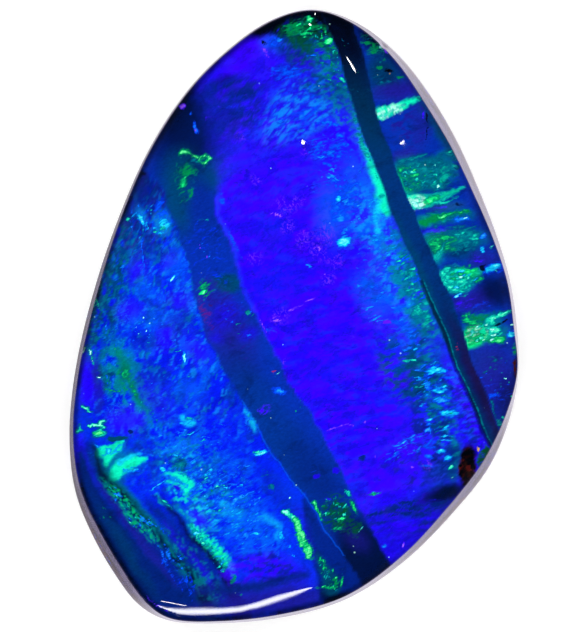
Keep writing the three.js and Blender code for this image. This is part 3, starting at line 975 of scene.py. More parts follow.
def paintBand(canvas):
    strokes(canvas, wash, [
        ("black", -4.2, 7.5, 1.6, 0.7, 62, 0.7, 0.85), ("ink", -3.6, 6.3, 1.5, 1.2, 70, 0.8, 0.85),
        ("deepTeal", -4.1, 5.0, 0.8, 0.6, 80, 0.8, 0.75), ("deepTeal", -2.7, 5.1, 0.6, 0.5, 20, 0.7, 0.7),
        ("deepTeal", -4.1, 3.9, 0.9, 0.4, 100, 0.8, 0.8), ("deepTeal", -2.4, 1.15, 0.5, 0.32, 0, 0.3, 0.9),
        ("indigo", -2.4, -0.5, 1.4, 0.7, -62, 0.8, 0.7), ("navy", -1.8, -1.9, 1.0, 0.6, -62, 0.8, 0.6),
        ("deepTeal", -0.5, -4.5, 2.4, 0.7, -60, 0.9, 0.35), ("navy", -0.1, -4.8, 1.8, 0.6, -60, 0.9, 0.4),
        ("navy", -3.1, 3.7, 1.0, 0.7, -80, 0.9, 0.45), ("navy", 0.9, -5.9, 1.6, 0.7, -60, 0.8, 0.7),
        ("ink", 2.6, -8.6, 1.8, 0.9, -60, 0.4, 0.95), ("indigo", 2.2, -7.9, 0.5, 0.3, -40, 0.8, 0.4),
        ("ultramarine", -2.4, 0.05, 0.55, 0.4, 40, 0.8, 0.8),
        ("ultramarine", -1.65, -0.62, 0.35, 0.22, 30, 0.8, 0.75),
        ("ultramarine", -2.7, -0.75, 0.25, 0.2, 10, 0.8, 0.6),
    ])
    strokes(canvas, veil, [
        ("indigo", -2.4, 0.0, 1.6, 0.7, -62, 0.35), ("moss", 1.65, -7.05, 0.75, 0.55, -45, 0.62),
        ("blue", -3.0, 2.2, 1.4, 0.8, -70, 0.22), ("leaf", -3.9, 4.9, 0.8, 0.4, 90, 0.3),
        ("azure", 0.2, -5.0, 2.6, 0.7, -58, 0.1),
    ])
    strokes(canvas, flash, [
        ("lavender", -4.0, 7.5, 0.1, 0.07, -30, 1.3), ("azure", -3.7, 7.25, 0.06, 0.05, 0, 1.3),
        ("azure", -3.5, 6.8, 0.2, 0.075, -72, 1.3), ("lavender", -3.48, 6.72, 0.08, 0.03, -70, 1.1),
        ("violet", -3.0, 7.05, 0.2, 0.09, 8, 0.9), ("pale", -5.0, 6.15, 0.06, 0.04, 50, 1.3),
        ("teal", -3.45, 5.55, 0.3, 0.14, 0, 0.9), ("leaf", -3.8, 5.15, 0.3, 0.16, 10, 0.9),
        ("leaf", -3.7, 4.35, 0.12, 0.16, 0, 0.8), ("green", -3.95, 4.68, 0.25, 0.14, 78, 1.1),
        ("bright", -3.95, 4.62, 0.13, 0.06, 60, 1.1), ("green", -3.15, 0.95, 0.3, 0.2, 60, 1.0),
        ("bright", -3.28, 0.78, 0.2, 0.07, 38, 1.2), ("plum", -3.2, 0.1, 0.55, 0.26, -60, 0.62),
        ("redBrown", -2.95, 0.35, 0.12, 0.07, 0, 0.4), ("teal", -1.68, 0.2, 0.1, 0.09, 0, 1.1),
        ("crimson", -0.7, -1.98, 0.15, 0.06, 82, 0.5), ("pale", -0.55, -2.08, 0.14, 0.015, 45, 1.1),
        ("azure", -0.54, -2.7, 0.32, 0.13, -10, 1.3), ("sky", -0.5, -2.68, 0.2, 0.07, -10, 1.2),
        ("ultramarine", 0.8, -5.65, 0.13, 0.1, 40, 1.3), ("ultramarine", 1.45, -5.5, 0.13, 0.09, 0, 1.3),
        ("ultramarine", 1.25, -6.55, 0.15, 0.1, 0, 1.3), ("violet", -1.0, -3.3, 0.25, 0.2, 0, 0.6),
        ("bright", 1.75, -7.25, 0.16, 0.06, 42, 1.2), ("green", 1.6, -7.55, 0.2, 0.06, 10, 1.0),
        ("aqua", 1.85, -6.82, 0.12, 0.06, 50, 1.0), ("aqua", 2.0, -6.35, 0.22, 0.07, -40, 1.0),
        ("green", 2.15, -6.75, 0.24, 0.06, -60, 1.1), ("green", 1.35, -7.1, 0.2, 0.04, 10, 1.0),
        ("ultramarine", 1.75, -9.45, 0.1, 0.25, 10, 0.9), ("pale", 2.36, -7.56, 0.16, 0.03, 28, 1.4),
    ])
    hook = [
        (-4.05, 5.82, 0.04), (-3.8, 5.84, 0.05), (-3.5, 5.68, 0.04), (-3.2, 5.74, 0.045),
        (-3.02, 5.58, 0.05),
    ]
    lines(canvas, "flashes", [
        ("green", hook, 0.03, 1.4),
        ("green", [(-3.02, 5.58, 0.05), (-3.25, 5.44, 0.05), (-3.45, 5.5, 0.03)], 0.03, 1.2),
        ("pale", [(-3.45, 3.42, 0.015), (-3.3, 3.4, 0.02), (-2.98, 3.36, 0.012)], 0.02, 0.8),
        ("sky", [(-3.42, 3.22, 0.015), (-3.35, 3.36, 0.015)], 0.02, 0.9),
        ("green", [(0.72, -6.72, 0.07), (0.9, -7.05, 0.07), (1.02, -7.28, 0.03)], 0.04, 1.15),
    ])
    strokes(canvas, strew, [
        (["green", "leaf", "aqua"], 1.6, -7.0, 0.6, 0.4, -45, 36, (0.07, 0.03), -30, 60, 0.95, 31),
        (["sky", "lavender"], -3.1, 2.3, 0.4, 0.25, -40, 16, (0.035, 0.02), -30, 50, 0.9, 32),
        (["teal", "azure"], -2.0, 0.0, 0.8, 0.5, -60, 16, (0.08, 0.02), 0, 40, 0.8, 33),
        (["green", "teal"], 0.3, -3.3, 0.3, 0.3, 0, 9, (0.035, 0.025), 0, 60, 1.0, 34),
    ])


def paintCentre(canvas):
    strokes(canvas, wash, [
        ("violet", -1.0, 5.0, 1.8, 2.0, 0, 0.9, 0.55), ("violet", -1.75, 9.2, 1.0, 0.75, 30, 0.7, 0.9),
        ("ink", -2.6, 8.2, 0.8, 0.28, 30, 0.7, 0.9), ("navy", -2.0, 7.85, 1.1, 0.22, 20, 0.8, 0.8),
        ("navy", -2.0, 7.0, 1.0, 0.3, 22, 0.8, 0.9), ("blue", 0.1, 7.4, 1.9, 0.9, 40, 0.9, 0.8),
        ("azure", 0.4, 7.9, 1.0, 0.35, 35, 0.8, 0.7), ("azure", -0.35, 6.85, 0.55, 0.25, 40, 0.8, 0.6),
        ("azure", -0.7, 9.7, 0.5, 0.35, 10, 0.7, 0.7), ("indigo", 0.3, 9.15, 0.6, 0.3, -30, 0.8, 0.8),
        ("deepTeal", 0.6, 10.0, 0.9, 0.6, -10, 0.7, 0.9), ("black", 0.4, 11.0, 1.5, 0.6, -3, 0.5, 1),
        ("black", -1.0, 10.5, 0.7, 0.35, 38, 0.5, 1), ("deepTeal", 1.7, 8.6, 1.1, 0.35, -66, 0.8, 0.5),
        ("ultramarine", -0.7, 2.8, 0.8, 0.55, 10, 0.9, 0.6),
        ("ultramarine", -0.4, 1.1, 0.9, 0.65, 20, 0.9, 0.7),
        ("ultramarine", 1.2, -2.0, 0.5, 0.3, 10, 0.9, 0.5), ("blue", 2.4, 3.4, 1.8, 1.1, -69, 0.9, 0.8),
        ("azure", 2.8, 3.3, 1.6, 0.45, -69, 0.9, 0.5), ("violet", 3.0, 1.4, 0.45, 0.33, 0, 0.4, 0.95),
        ("blue", 3.9, 0.6, 1.5, 1.0, -66, 0.9, 0.85), ("azure", 2.9, 0.8, 0.7, 0.5, -60, 0.9, 0.5),
        ("azure", 4.1, 0.9, 1.0, 0.45, -66, 0.9, 0.4), ("blue", 4.3, -1.9, 1.4, 1.0, -70, 0.9, 0.7),
        ("navy", 4.4, -2.4, 0.45, 0.35, 0, 0.8, 0.7), ("blue", 5.0, -3.9, 1.4, 0.7, -72, 0.9, 0.6),
        ("royal", 4.2, -4.0, 1.8, 1.1, -70, 0.9, 0.5), ("violet", 3.6, -5.0, 1.2, 1.0, 30, 0.9, 0.75),
        ("violet", 6.0, -2.9, 1.4, 0.14, -66, 0.8, 0.7), ("deepTeal", 5.75, -5.3, 0.8, 0.24, 88, 0.6, 0.8),
        ("ink", 5.4, -6.3, 0.55, 0.24, 8, 0.6, 0.9), ("navy", 4.3, -6.95, 1.2, 0.16, 6, 0.8, 0.8),
        ("navy", 2.9, -7.2, 0.8, 0.25, 10, 0.8, 0.6), ("ultramarine", 3.4, -8.0, 1.0, 0.5, 30, 0.9, 0.7),
        ("blue", 2.2, -6.0, 1.3, 0.28, -58, 0.8, 0.6), ("navy", 4.4, -2.0, 0.7, 0.5, -60, 0.9, 0.7),
        ("deepTeal", 4.5, -1.9, 0.5, 0.35, -60, 0.9, 0.5), ("deepTeal", 5.2, -5.6, 0.7, 0.4, 60, 0.9, 0.6),
        ("ink", 5.3, -6.35, 0.8, 0.25, 8, 0.8, 0.85),
    ])
    lines(canvas, "washes", [
        ("azure", [(2.3, 5.4, 0.3), (2.7, 3.6, 0.6), (3.4, 1.6, 0.6), (4.4, -0.6, 0.5)], 0.7, 0.5),
        ("sky", [(2.6, 4.6, 0.1), (2.9, 3.4, 0.3), (3.3, 2.4, 0.3), (3.8, 1.5, 0.1)], 0.4, 0.4),
        ("deepTeal", [(3.1, 4.3, 0.1), (3.9, 2.2, 0.2), (4.5, 0.6, 0.4), (4.9, -0.6, 0.3)], 0.4, 0.75),
        ("teal", [(3.0, 4.6, 0.1), (3.7, 2.6, 0.1), (4.3, 1.0, 0.25), (4.7, -0.2, 0.2)], 0.3, 0.5),
        ("teal", [
            (1.3, 9.6, 0.3), (1.7, 8.6, 0.2), (2.15, 7.4, 0.15), (2.4, 6.2, 0.12), (2.8, 5.2, 0.2),
        ], 0.2, 0.6),
        ("aqua", [
            (2.1, 7.2, 0.0), (2.5, 6.1, 0.04), (2.85, 5.1, 0.14), (3.15, 4.3, 0.2), (3.3, 3.8, 0.12),
        ], 0.14, 0.95),
        ("cyan", [(3.15, 4.2, 0.1), (3.0, 3.4, 0.14), (2.9, 2.8, 0.04)], 0.14, 0.85),
        ("deepTeal", [(4.0, -1.5, 0.1), (4.4, -2.0, 0.35), (4.6, -2.5, 0.2)], 0.3, 0.75),
    ])
    strokes(canvas, cloud, [
        ("blue", 0.9, 1.0, 2.2, 9.0, 20, (1.1, 0.4), 12, 0.3, 0.4, 21),
        ("violet", 0.6, 1.0, 2.6, 9.0, 20, (0.8, 0.3), 16, 0.4, 0.8, 22),
        ("ultramarine", 0.6, 0.0, 2.6, 9.0, 20, (0.7, 0.45), 10, 0.3, 0.85, 23),
        ("azure", 3.4, 1.4, 3.4, 1.0, -67, (0.5, 0.26), 15, 0.3, 0.7, 24),
        ("violetBlue", 3.4, 1.4, 3.4, 1.2, -67, (0.5, 0.34), 15, 0.35, 0.85, 36),
        ("sky", 3.1, 2.4, 2.6, 0.6, -67, (0.3, 0.2), 40, 0.25, 0.8, 37),
        ("teal", 4.2, 0.9, 2.2, 0.6, -66, (0.5, 0.24), 15, 0.4, 0.8, 25),
        ("aqua", 4.4, 0.5, 1.2, 0.3, -66, (0.34, 0.14), 15, 0.2, 0.6, 38),
        ("deepTeal", 4.9, -2.8, 2.4, 0.7, -74, (0.4, 0.2), 12, 0.45, 0.7, 26),
        ("teal", 5.2, -3.2, 2.4, 0.45, -76, (0.3, 0.13), 12, 0.35, 0.7, 27),
        ("azure", 0.4, 7.6, 1.9, 1.0, 38, (0.4, 0.18), 30, 0.4, 0.6, 28),
        ("ultramarine", 0.0, 8.6, 2.2, 1.2, 20, (0.4, 0.2), 30, 0.4, 0.8, 29),
        ("navy", 0.5, 10.1, 1.8, 1.0, -10, (0.3, 0.2), 0, 0.6, 0.9, 40),
        ("moss", 0.8, 10.0, 1.0, 0.7, -10, (0.3, 0.2), 0, 0.6, 0.9, 30),
        ("black", 0.2, 10.5, 1.7, 0.6, -5, (0.3, 0.2), 0, 0.7, 0.95, 31),
        ("navy", -2.4, 7.4, 1.5, 1.0, 35, (0.5, 0.18), 24, 0.4, 0.8, 32),
        ("navy", 4.0, -7.2, 1.6, 0.6, 10, (0.8, 0.16), 8, 0.4, 0.8, 33),
        ("navy", 4.4, -5.4, 1.4, 1.0, 0, (0.4, 0.2), 20, 0.2, 0.6, 34),
    ])
    strokes(canvas, veil, [
        ("ultramarine", 1.0, 0.0, 3.0, 8.0, 20, 0.2), ("violet", 0.5, 1.0, 2.6, 7.5, 20, 0.26),
        ("blue", 1.5, 2.0, 2.2, 7.0, 20, 0.1), ("cyan", 3.1, 3.3, 2.0, 0.45, -69, 0.3),
        ("azure", 1.6, 4.2, 0.9, 0.8, 0, 0.44), ("azure", 4.7, -2.8, 2.2, 0.7, -72, 0.24),
        ("sky", 5.0, -3.0, 2.0, 0.5, -74, 0.16), ("azure", 0.3, 7.6, 1.8, 0.9, 38, 0.34),
        ("sky", 0.5, 7.9, 1.2, 0.5, 36, 0.24), ("azure", 1.3, 6.2, 0.8, 0.9, 0, 0.40),
        ("teal", 4.3, 0.9, 1.4, 0.45, -66, 0.26), ("aqua", 4.3, 0.6, 1.0, 0.4, -66, 0.16),
        ("leaf", 1.3, 9.2, 1.0, 0.5, -66, 0.45), ("teal", 1.1, 9.0, 1.0, 0.6, -60, 0.42),
        ("leaf", 0.4, 10.2, 0.8, 0.4, -8, 0.60), ("green", 0.5, 10.1, 0.7, 0.35, -8, 0.36),
        ("teal", 2.25, 7.0, 1.3, 0.22, -70, 0.60), ("azure", -0.15, 8.75, 0.55, 0.38, 10, 0.62),
        ("teal", -0.1, 8.75, 0.45, 0.3, 10, 0.46), ("navy", -2.2, 7.5, 1.3, 0.7, 24, 0.36),
        ("ultramarine", 3.6, -7.8, 1.4, 0.8, 30, 0.45),
    ])
    strokes(canvas, cloud, [
        ("ultramarine", 0.3, 7.6, 2.4, 1.4, 38, (0.4, 0.16), 30, 0.5, 0.8, 53),
        ("sky", 0.5, 7.6, 1.8, 0.9, 38, (0.34, 0.13), 30, 0.35, 0.75, 54),
        ("deepTeal", 0.9, 8.9, 1.4, 0.8, -50, (0.25, 0.14), 0, 0.4, 0.8, 56),
        ("navy", -2.6, 7.2, 1.2, 1.2, 30, (0.4, 0.2), 24, 0.5, 0.85, 57),
        ("deepTeal", 4.0, -1.9, 1.3, 0.9, -62, (0.32, 0.15), 12, 0.5, 0.8, 52),
        ("navy", 4.9, -4.4, 1.6, 0.8, -72, (0.32, 0.15), 12, 0.45, 0.75, 58),
        ("moss", 0.7, 10.0, 1.3, 0.7, -10, (0.16, 0.12), 0, 0.4, 0.8, 59),
        ("teal", 1.5, 8.0, 1.6, 0.45, -68, (0.22, 0.12), -10, 0.45, 0.8, 68),
        ("violetBlue", 2.3, 6.3, 1.4, 0.4, -70, (0.24, 0.11), 10, 0.4, 0.75, 60),
        ("azure", 5.8, -2.8, 1.9, 0.4, -66, (0.3, 0.12), 10, 0.35, 0.55, 63),
        ("navy", 5.9, -3.2, 1.9, 0.45, -66, (0.3, 0.13), 10, 0.35, 0.6, 64),
    ])
    lines(canvas, "washes", [
        ("aqua", [
            (2.45, 6.2, 0.03), (2.72, 5.4, 0.09), (3.0, 4.7, 0.14), (3.2, 4.1, 0.2), (3.38, 3.7, 0.12),
        ], 0.12, 0.85),
        ("cyan", [(3.1, 4.1, 0.06), (2.95, 3.4, 0.1), (2.9, 2.9, 0.03)], 0.1, 0.8),
    ])
    strokes(canvas, wash, [
        ("azure", 2.85, 0.7, 0.7, 0.5, -66, 0.9, 0.55), ("azure", 1.35, 3.75, 0.5, 0.8, 0, 0.9, 0.6),
        ("deepTeal", 1.75, 7.9, 1.2, 0.3, -68, 0.9, 0.4), ("navy", 1.2, 8.1, 0.7, 0.5, -60, 0.9, 0.35),
        ("band", 5.2, -1.2, 0.6, 0.3, -66, 0.9, 0.4), ("royal", -0.75, 3.1, 0.5, 0.4, 0, 0.9, 0.55),
        ("royal", -0.7, 1.2, 0.8, 0.5, 10, 0.9, 0.5), ("indigo", -0.8, 2.9, 0.3, 0.3, 0, 0.9, 0.2),
        ("royal", 1.3, -2.0, 0.5, 0.4, 20, 0.9, 0.4),
    ])
    # The glow along the band's right edge
    line(canvas, "washes", "azure", [
        (-2.76, 4.5, 0.1), (-2.68, 3.6, 0.04), (-2.2, 2.6, 0.08), (-2.02, 1.5, 0.03), (-1.6, 0.5, 0.04),
        (-0.65, -1.6, 0.02),
    ], 0.12, 0.32)
    wash(canvas, "black", -0.95, 10.35, 0.8, 0.3, 36, 0.5, 0.95)
    lines(canvas, "washes", [
        ("black", [(-1.5, 10.2, 0.16), (-0.5, 10.72, 0.2), (0.6, 10.95, 0.26), (1.7, 10.6, 0.3)], 0.16, 1),
        ("navy", [(3.5, -6.95, 0.1), (4.6, -6.75, 0.12), (5.6, -6.6, 0.1)], 0.12, 0.8),
    ])
    wash(canvas, "ink", 5.4, -6.35, 0.75, 0.2, 8, 0.6, 0.9)
    strokes(canvas, strew, [
        (["azure", "sky"], 3.2, 0.6, 2.0, 0.7, -66, 60, (0.22, 0.035), 14, 16, 0.6, 41),
        (["sky", "teal", "cyan"], 4.9, -2.6, 1.8, 0.5, -74, 70, (0.17, 0.035), 12, 16, 0.65, 42),
        (["azure", "sky"], 1.4, 5.6, 0.7, 1.0, 0, 42, (0.24, 0.02), -4, 8, 0.9, 43),
        (["azure", "sky"], 1.9, 3.6, 0.5, 1.0, 0, 36, (0.12, 0.03), 30, 40, 0.85, 44),
        (["green", "teal", "aqua", "leaf"], 1.3, 9.0, 0.9, 0.4, -66, 44, (0.08, 0.035), -20, 60, 0.95, 45),
        (["green", "leaf", "bright"], 0.5, 10.15, 0.7, 0.32, -8, 44, (0.06, 0.035), 0, 60, 0.95, 46),
        (["redBrown", "umber"], 0.1, 10.75, 1.1, 0.16, 0, 24, (0.05, 0.03), 0, 60, 0.9, 47),
        (["azure", "sky"], 4.0, -4.7, 0.7, 0.35, 25, 30, (0.3, 0.018), 26, 6, 0.9, 48),
        (["violet", "ultramarine"], 1.5, -3.5, 2.0, 2.4, 30, 90, (0.24, 0.035), 10, 20, 0.8, 49),
        (["ultramarine", "navy"], 3.9, -6.9, 1.6, 0.4, 8, 46, (0.34, 0.03), 7, 6, 0.8, 50),
        (["azure", "teal", "aqua"], 4.2, 1.4, 1.0, 0.35, -66, 40, (0.14, 0.035), 20, 25, 0.7, 51),
    ])
    strokes(canvas, flash, [
        ("azure", -0.7, 9.75, 0.34, 0.22, 10, 0.9), ("sky", -0.47, 9.82, 0.14, 0.08, 30, 1.1),
        ("black", -1.25, 10.05, 0.12, 0.09, 0, 1.2), ("ink", -1.08, 9.68, 0.1, 0.15, 0, 1.1),
        ("lavender", -1.05, 9.35, 0.2, 0.06, -50, 0.8), ("leaf", 0.0, 10.2, 0.3, 0.3, 0, 0.9),
        ("bright", 0.55, 10.6, 0.1, 0.08, 20, 1.1), ("bright", 0.45, 10.02, 0.22, 0.07, 0, 1.0),
        ("aqua", 0.83, 9.9, 0.1, 0.07, 0, 1.4), ("bright", 1.28, 9.76, 0.2, 0.09, 10, 1.1),
        ("green", 1.6, 9.2, 0.36, 0.06, -70, 0.9), ("ultramarine", 0.9, 9.45, 0.2, 0.14, 0, 1.0),
        ("ultramarine", 1.6, 8.5, 0.3, 0.16, 0, 1.0), ("aqua", 1.8, 8.4, 0.2, 0.08, -40, 1.0),
        ("leaf", 1.9, 8.15, 0.16, 0.1, -20, 1.0), ("sky", 0.65, 9.3, 0.14, 0.04, 0, 1.0),
        ("azure", -2.3, 7.45, 0.18, 0.05, 20, 1.1), ("violet", -2.6, 7.5, 0.3, 0.08, 15, 0.9),
        ("sky", -0.5, 6.87, 0.12, 0.07, 20, 1.0), ("azure", 1.3, 6.85, 0.5, 0.04, -6, 1.2),
        ("azure", 1.2, 5.8, 0.5, 0.035, 0, 1.1), ("teal", -2.35, 6.1, 0.05, 0.06, 0, 1.2),
        ("teal", -2.2, 5.6, 0.06, 0.07, 0, 1.0), ("aqua", 2.55, 5.8, 0.24, 0.1, -60, 1.0),
        ("cyan", 1.75, 2.7, 0.23, 0.2, 0, 1.3), ("sky", 1.75, 2.98, 0.12, 0.06, 0, 1.2),
        ("azure", 1.5, 3.7, 0.3, 0.34, 0, 0.9), ("sky", 1.65, 3.55, 0.16, 0.2, 60, 0.95),
        ("cyan", 1.6, 4.15, 0.1, 0.08, 40, 1.0), ("sky", 0.5, 1.78, 0.13, 0.045, -12, 1.3),
        ("purple", 3.35, -0.2, 0.13, 0.06, 0, 1.2), ("aqua", 4.4, 0.2, 0.3, 0.18, 25, 0.9),
        ("aqua", 4.15, -1.55, 0.32, 0.05, 0, 0.9), ("cyan", 5.1, -1.95, 0.28, 0.14, 0, 1.0),
        ("azure", 5.5, -2.2, 0.24, 0.06, 8, 1.1), ("cyan", 5.2, -2.65, 0.3, 0.06, 5, 1.0),
        ("sky", 5.25, -3.0, 0.26, 0.09, 0, 1.0), ("cyan", 5.55, -3.5, 0.33, 0.15, 4, 1.1),
        ("green", 5.62, -3.5, 0.07, 0.035, 0, 1.2), ("teal", 4.9, -3.3, 0.16, 0.04, 0, 1.0),
        ("cyan", 5.5, -4.25, 0.3, 0.03, 8, 1.2), ("cyan", 5.55, -4.38, 0.28, 0.03, 2, 1.2),
        ("cyan", 5.2, -4.8, 0.16, 0.08, 0, 1.1), ("azure", 4.8, -4.65, 0.22, 0.09, 0, 1.0),
        ("cyan", 5.45, -5.05, 0.14, 0.1, 0, 1.1), ("azure", 4.75, -5.0, 0.14, 0.1, 0, 1.0),
        ("azure", 4.7, -5.33, 0.24, 0.06, 4, 1.1), ("aqua", 5.66, -5.46, 0.14, 0.06, 6, 1.2),
        ("pale", 5.7, -5.78, 0.1, 0.02, 24, 1.1), ("navy", 2.4, -5.1, 0.14, 0.1, 10, 1.1),
        ("ultramarine", 3.15, -4.35, 0.25, 0.16, 0, 1.0), ("aqua", 2.9, -6.37, 0.2, 0.045, 12, 1.0),
        ("green", 2.85, -6.4, 0.12, 0.04, 20, 0.9), ("lavender", 2.87, -4.98, 0.04, 0.07, 0, 1.1),
        ("lavender", 4.2, -5.42, 0.06, 0.035, 0, 1.2), ("lavender", 2.55, -3.78, 0.06, 0.03, 20, 1.1),
        ("sky", 3.2, -8.2, 0.12, 0.06, -20, 1.1), ("lavender", 3.95, -8.25, 0.05, 0.08, 0, 1.0),
        ("moss", 6.75, -5.0, 0.22, 0.42, -25, 1.1), ("amber", 6.52, -4.8, 0.06, 0.1, 0, 1.2),
        ("azure", -2.15, 2.6, 0.5, 0.1, -66, 0.8), ("azure", -2.65, 4.35, 0.45, 0.14, -66, 0.8),
        ("azure", -0.8, -0.5, 0.3, 0.14, 20, 0.45),
    ])
    # The bare brown spot at the right edge
    wash(canvas, "umber", 6.2, -5.4, 0.28, 0.78, 2, 0.15)
    strokes(canvas, cloud, [
        ("redBrown", 6.2, -5.3, 0.3, 0.7, 0, (0.16, 0.24), 0, 0.5, 0.45, 35),
        ("black", 6.2, -5.4, 0.32, 0.8, 0, (0.14, 0.2), 0, 0.6, 1, 39),
    ])
    crumbs = ["black", "black", "redBrown"]
    strew(canvas, crumbs, 6.2, -5.35, 0.26, 0.6, 0, 40, (0.07, 0.05), 0, 90, 1.1, 52)
    # The glow that hugs the seam
    lines(canvas, "flashes", [
        ("aqua", [(2.85, 5.1, 0.03), (3.15, 4.3, 0.1), (3.3, 3.85, 0.06)], 0.2, 0.3),
        ("cyan", [(3.02, 4.1, 0.08), (2.9, 3.4, 0.12), (2.8, 2.5, 0.04)], 0.2, 0.5),
        ("aqua", [(1.75, 9.0, 0.05), (2.0, 8.1, 0.05), (2.2, 7.2, 0.05), (2.5, 6.4, 0.03)], 0.2, 0.4),
    ])


# Lavender scribbles on the middle of the stone, each over a haze of fine threads
def paintLavender(canvas):
    for seed, (x, y, reach, steps) in enumerate([
        (-0.3, 3.95, 0.4, 12), (0.15, 4.15, 0.22, 7), (-0.2, 3.2, 0.3, 12), (0.4, 2.75, 0.34, 12),
        (0.85, 2.3, 0.3, 11), (1.1, 2.9, 0.36, 12), (1.45, 1.95, 0.34, 11), (1.2, 1.35, 0.24, 6),
        (-1.4, 4.85, 0.22, 9), (-1.9, 6.4, 0.22, 6), (-1.4, 2.1, 0.3, 7), (-0.5, 0.0, 0.3, 8),
        (-0.45, -1.6, 0.2, 7), (0.3, 5.9, 0.2, 4), (4.7, -5.3, 0.2, 6),
    ]):
        veil(canvas, "lace", x, y, 1.1 * reach, 0.9 * reach, 20 * seed, 0.5)
        hue = "lavender" if seed % 3 else "purple"
        scribble(canvas, hue, x, y, reach, steps // 2, 0.032, 0.7, 60 + seed)
    lines(canvas, "flashes", [
        ("lavender", [(-0.8, 3.62, 0.03), (-0.65, 3.55, 0.05), (-0.35, 3.5, 0.03)], 0.03, 1.1),
        ("lavender", [(-0.22, 0.18, 0.04), (0.25, 0.35, 0.05), (0.78, 0.6, 0.03)], 0.04, 0.85),
        ("lavender", [(-2.05, 1.5, 0.03), (-1.9, 1.0, 0.035), (-1.75, 0.6, 0.03)], 0.03, 0.8),
        ("lavender", [(-1.25, -0.05, 0.03), (-1.12, -0.3, 0.035), (-1.02, -0.58, 0.03)], 0.03, 0.8),
        ("lavender", [(1.15, -4.05, 0.03), (1.6, -3.92, 0.03), (2.2, -3.85, 0.03)], 0.03, 0.7),
        ("sky", [(4.66, -4.15, 0.03), (4.85, -3.98, 0.04), (4.98, -4.2, 0.03)], 0.03, 1.0),
        ("azure", [(4.3, -4.9, 0.02), (4.98, -4.35, 0.025)], 0.03, 1.0),
    ])


def paintSeam(canvas):
    strokes(canvas, wash, [
        ("black", 1.6, 10.0, 1.6, 0.9, -70, 0.5, 1), ("ink", 2.3, 8.0, 1.9, 0.6, -70, 0.8, 0.85),
        ("deepTeal", 2.6, 7.0, 1.6, 0.5, -70, 0.8, 0.3), ("deepTeal", 4.6, 1.3, 2.4, 0.14, -67, 0.9, 0.6),
        ("deepTeal", 5.9, -1.8, 2.6, 0.14, -65, 0.9, 0.6), ("ink", 6.45, -2.3, 2.4, 0.3, -68, 0.8, 0.85),
        ("indigo", 6.62, -2.6, 1.9, 0.24, -68, 0.9, 0.35),
        ("umber", 6.64, -2.6, 1.9, 0.16, -68, 0.9, 0.55),
    ])
    line(canvas, "flashes", "teal", [(1.95, 8.08, 0.015), (2.75, 8.08, 0.015)], 0.02, 0.7)
    strokes(canvas, strew, [
        (["leaf", "teal"], 2.0, 9.3, 0.8, 0.2, -70, 12, (0.05, 0.03), 0, 60, 0.7, 71),
        (["redBrown", "crimson"], 5.7, -0.9, 0.3, 0.1, -66, 8, (0.05, 0.04), 0, 60, 0.6, 72),
    ])


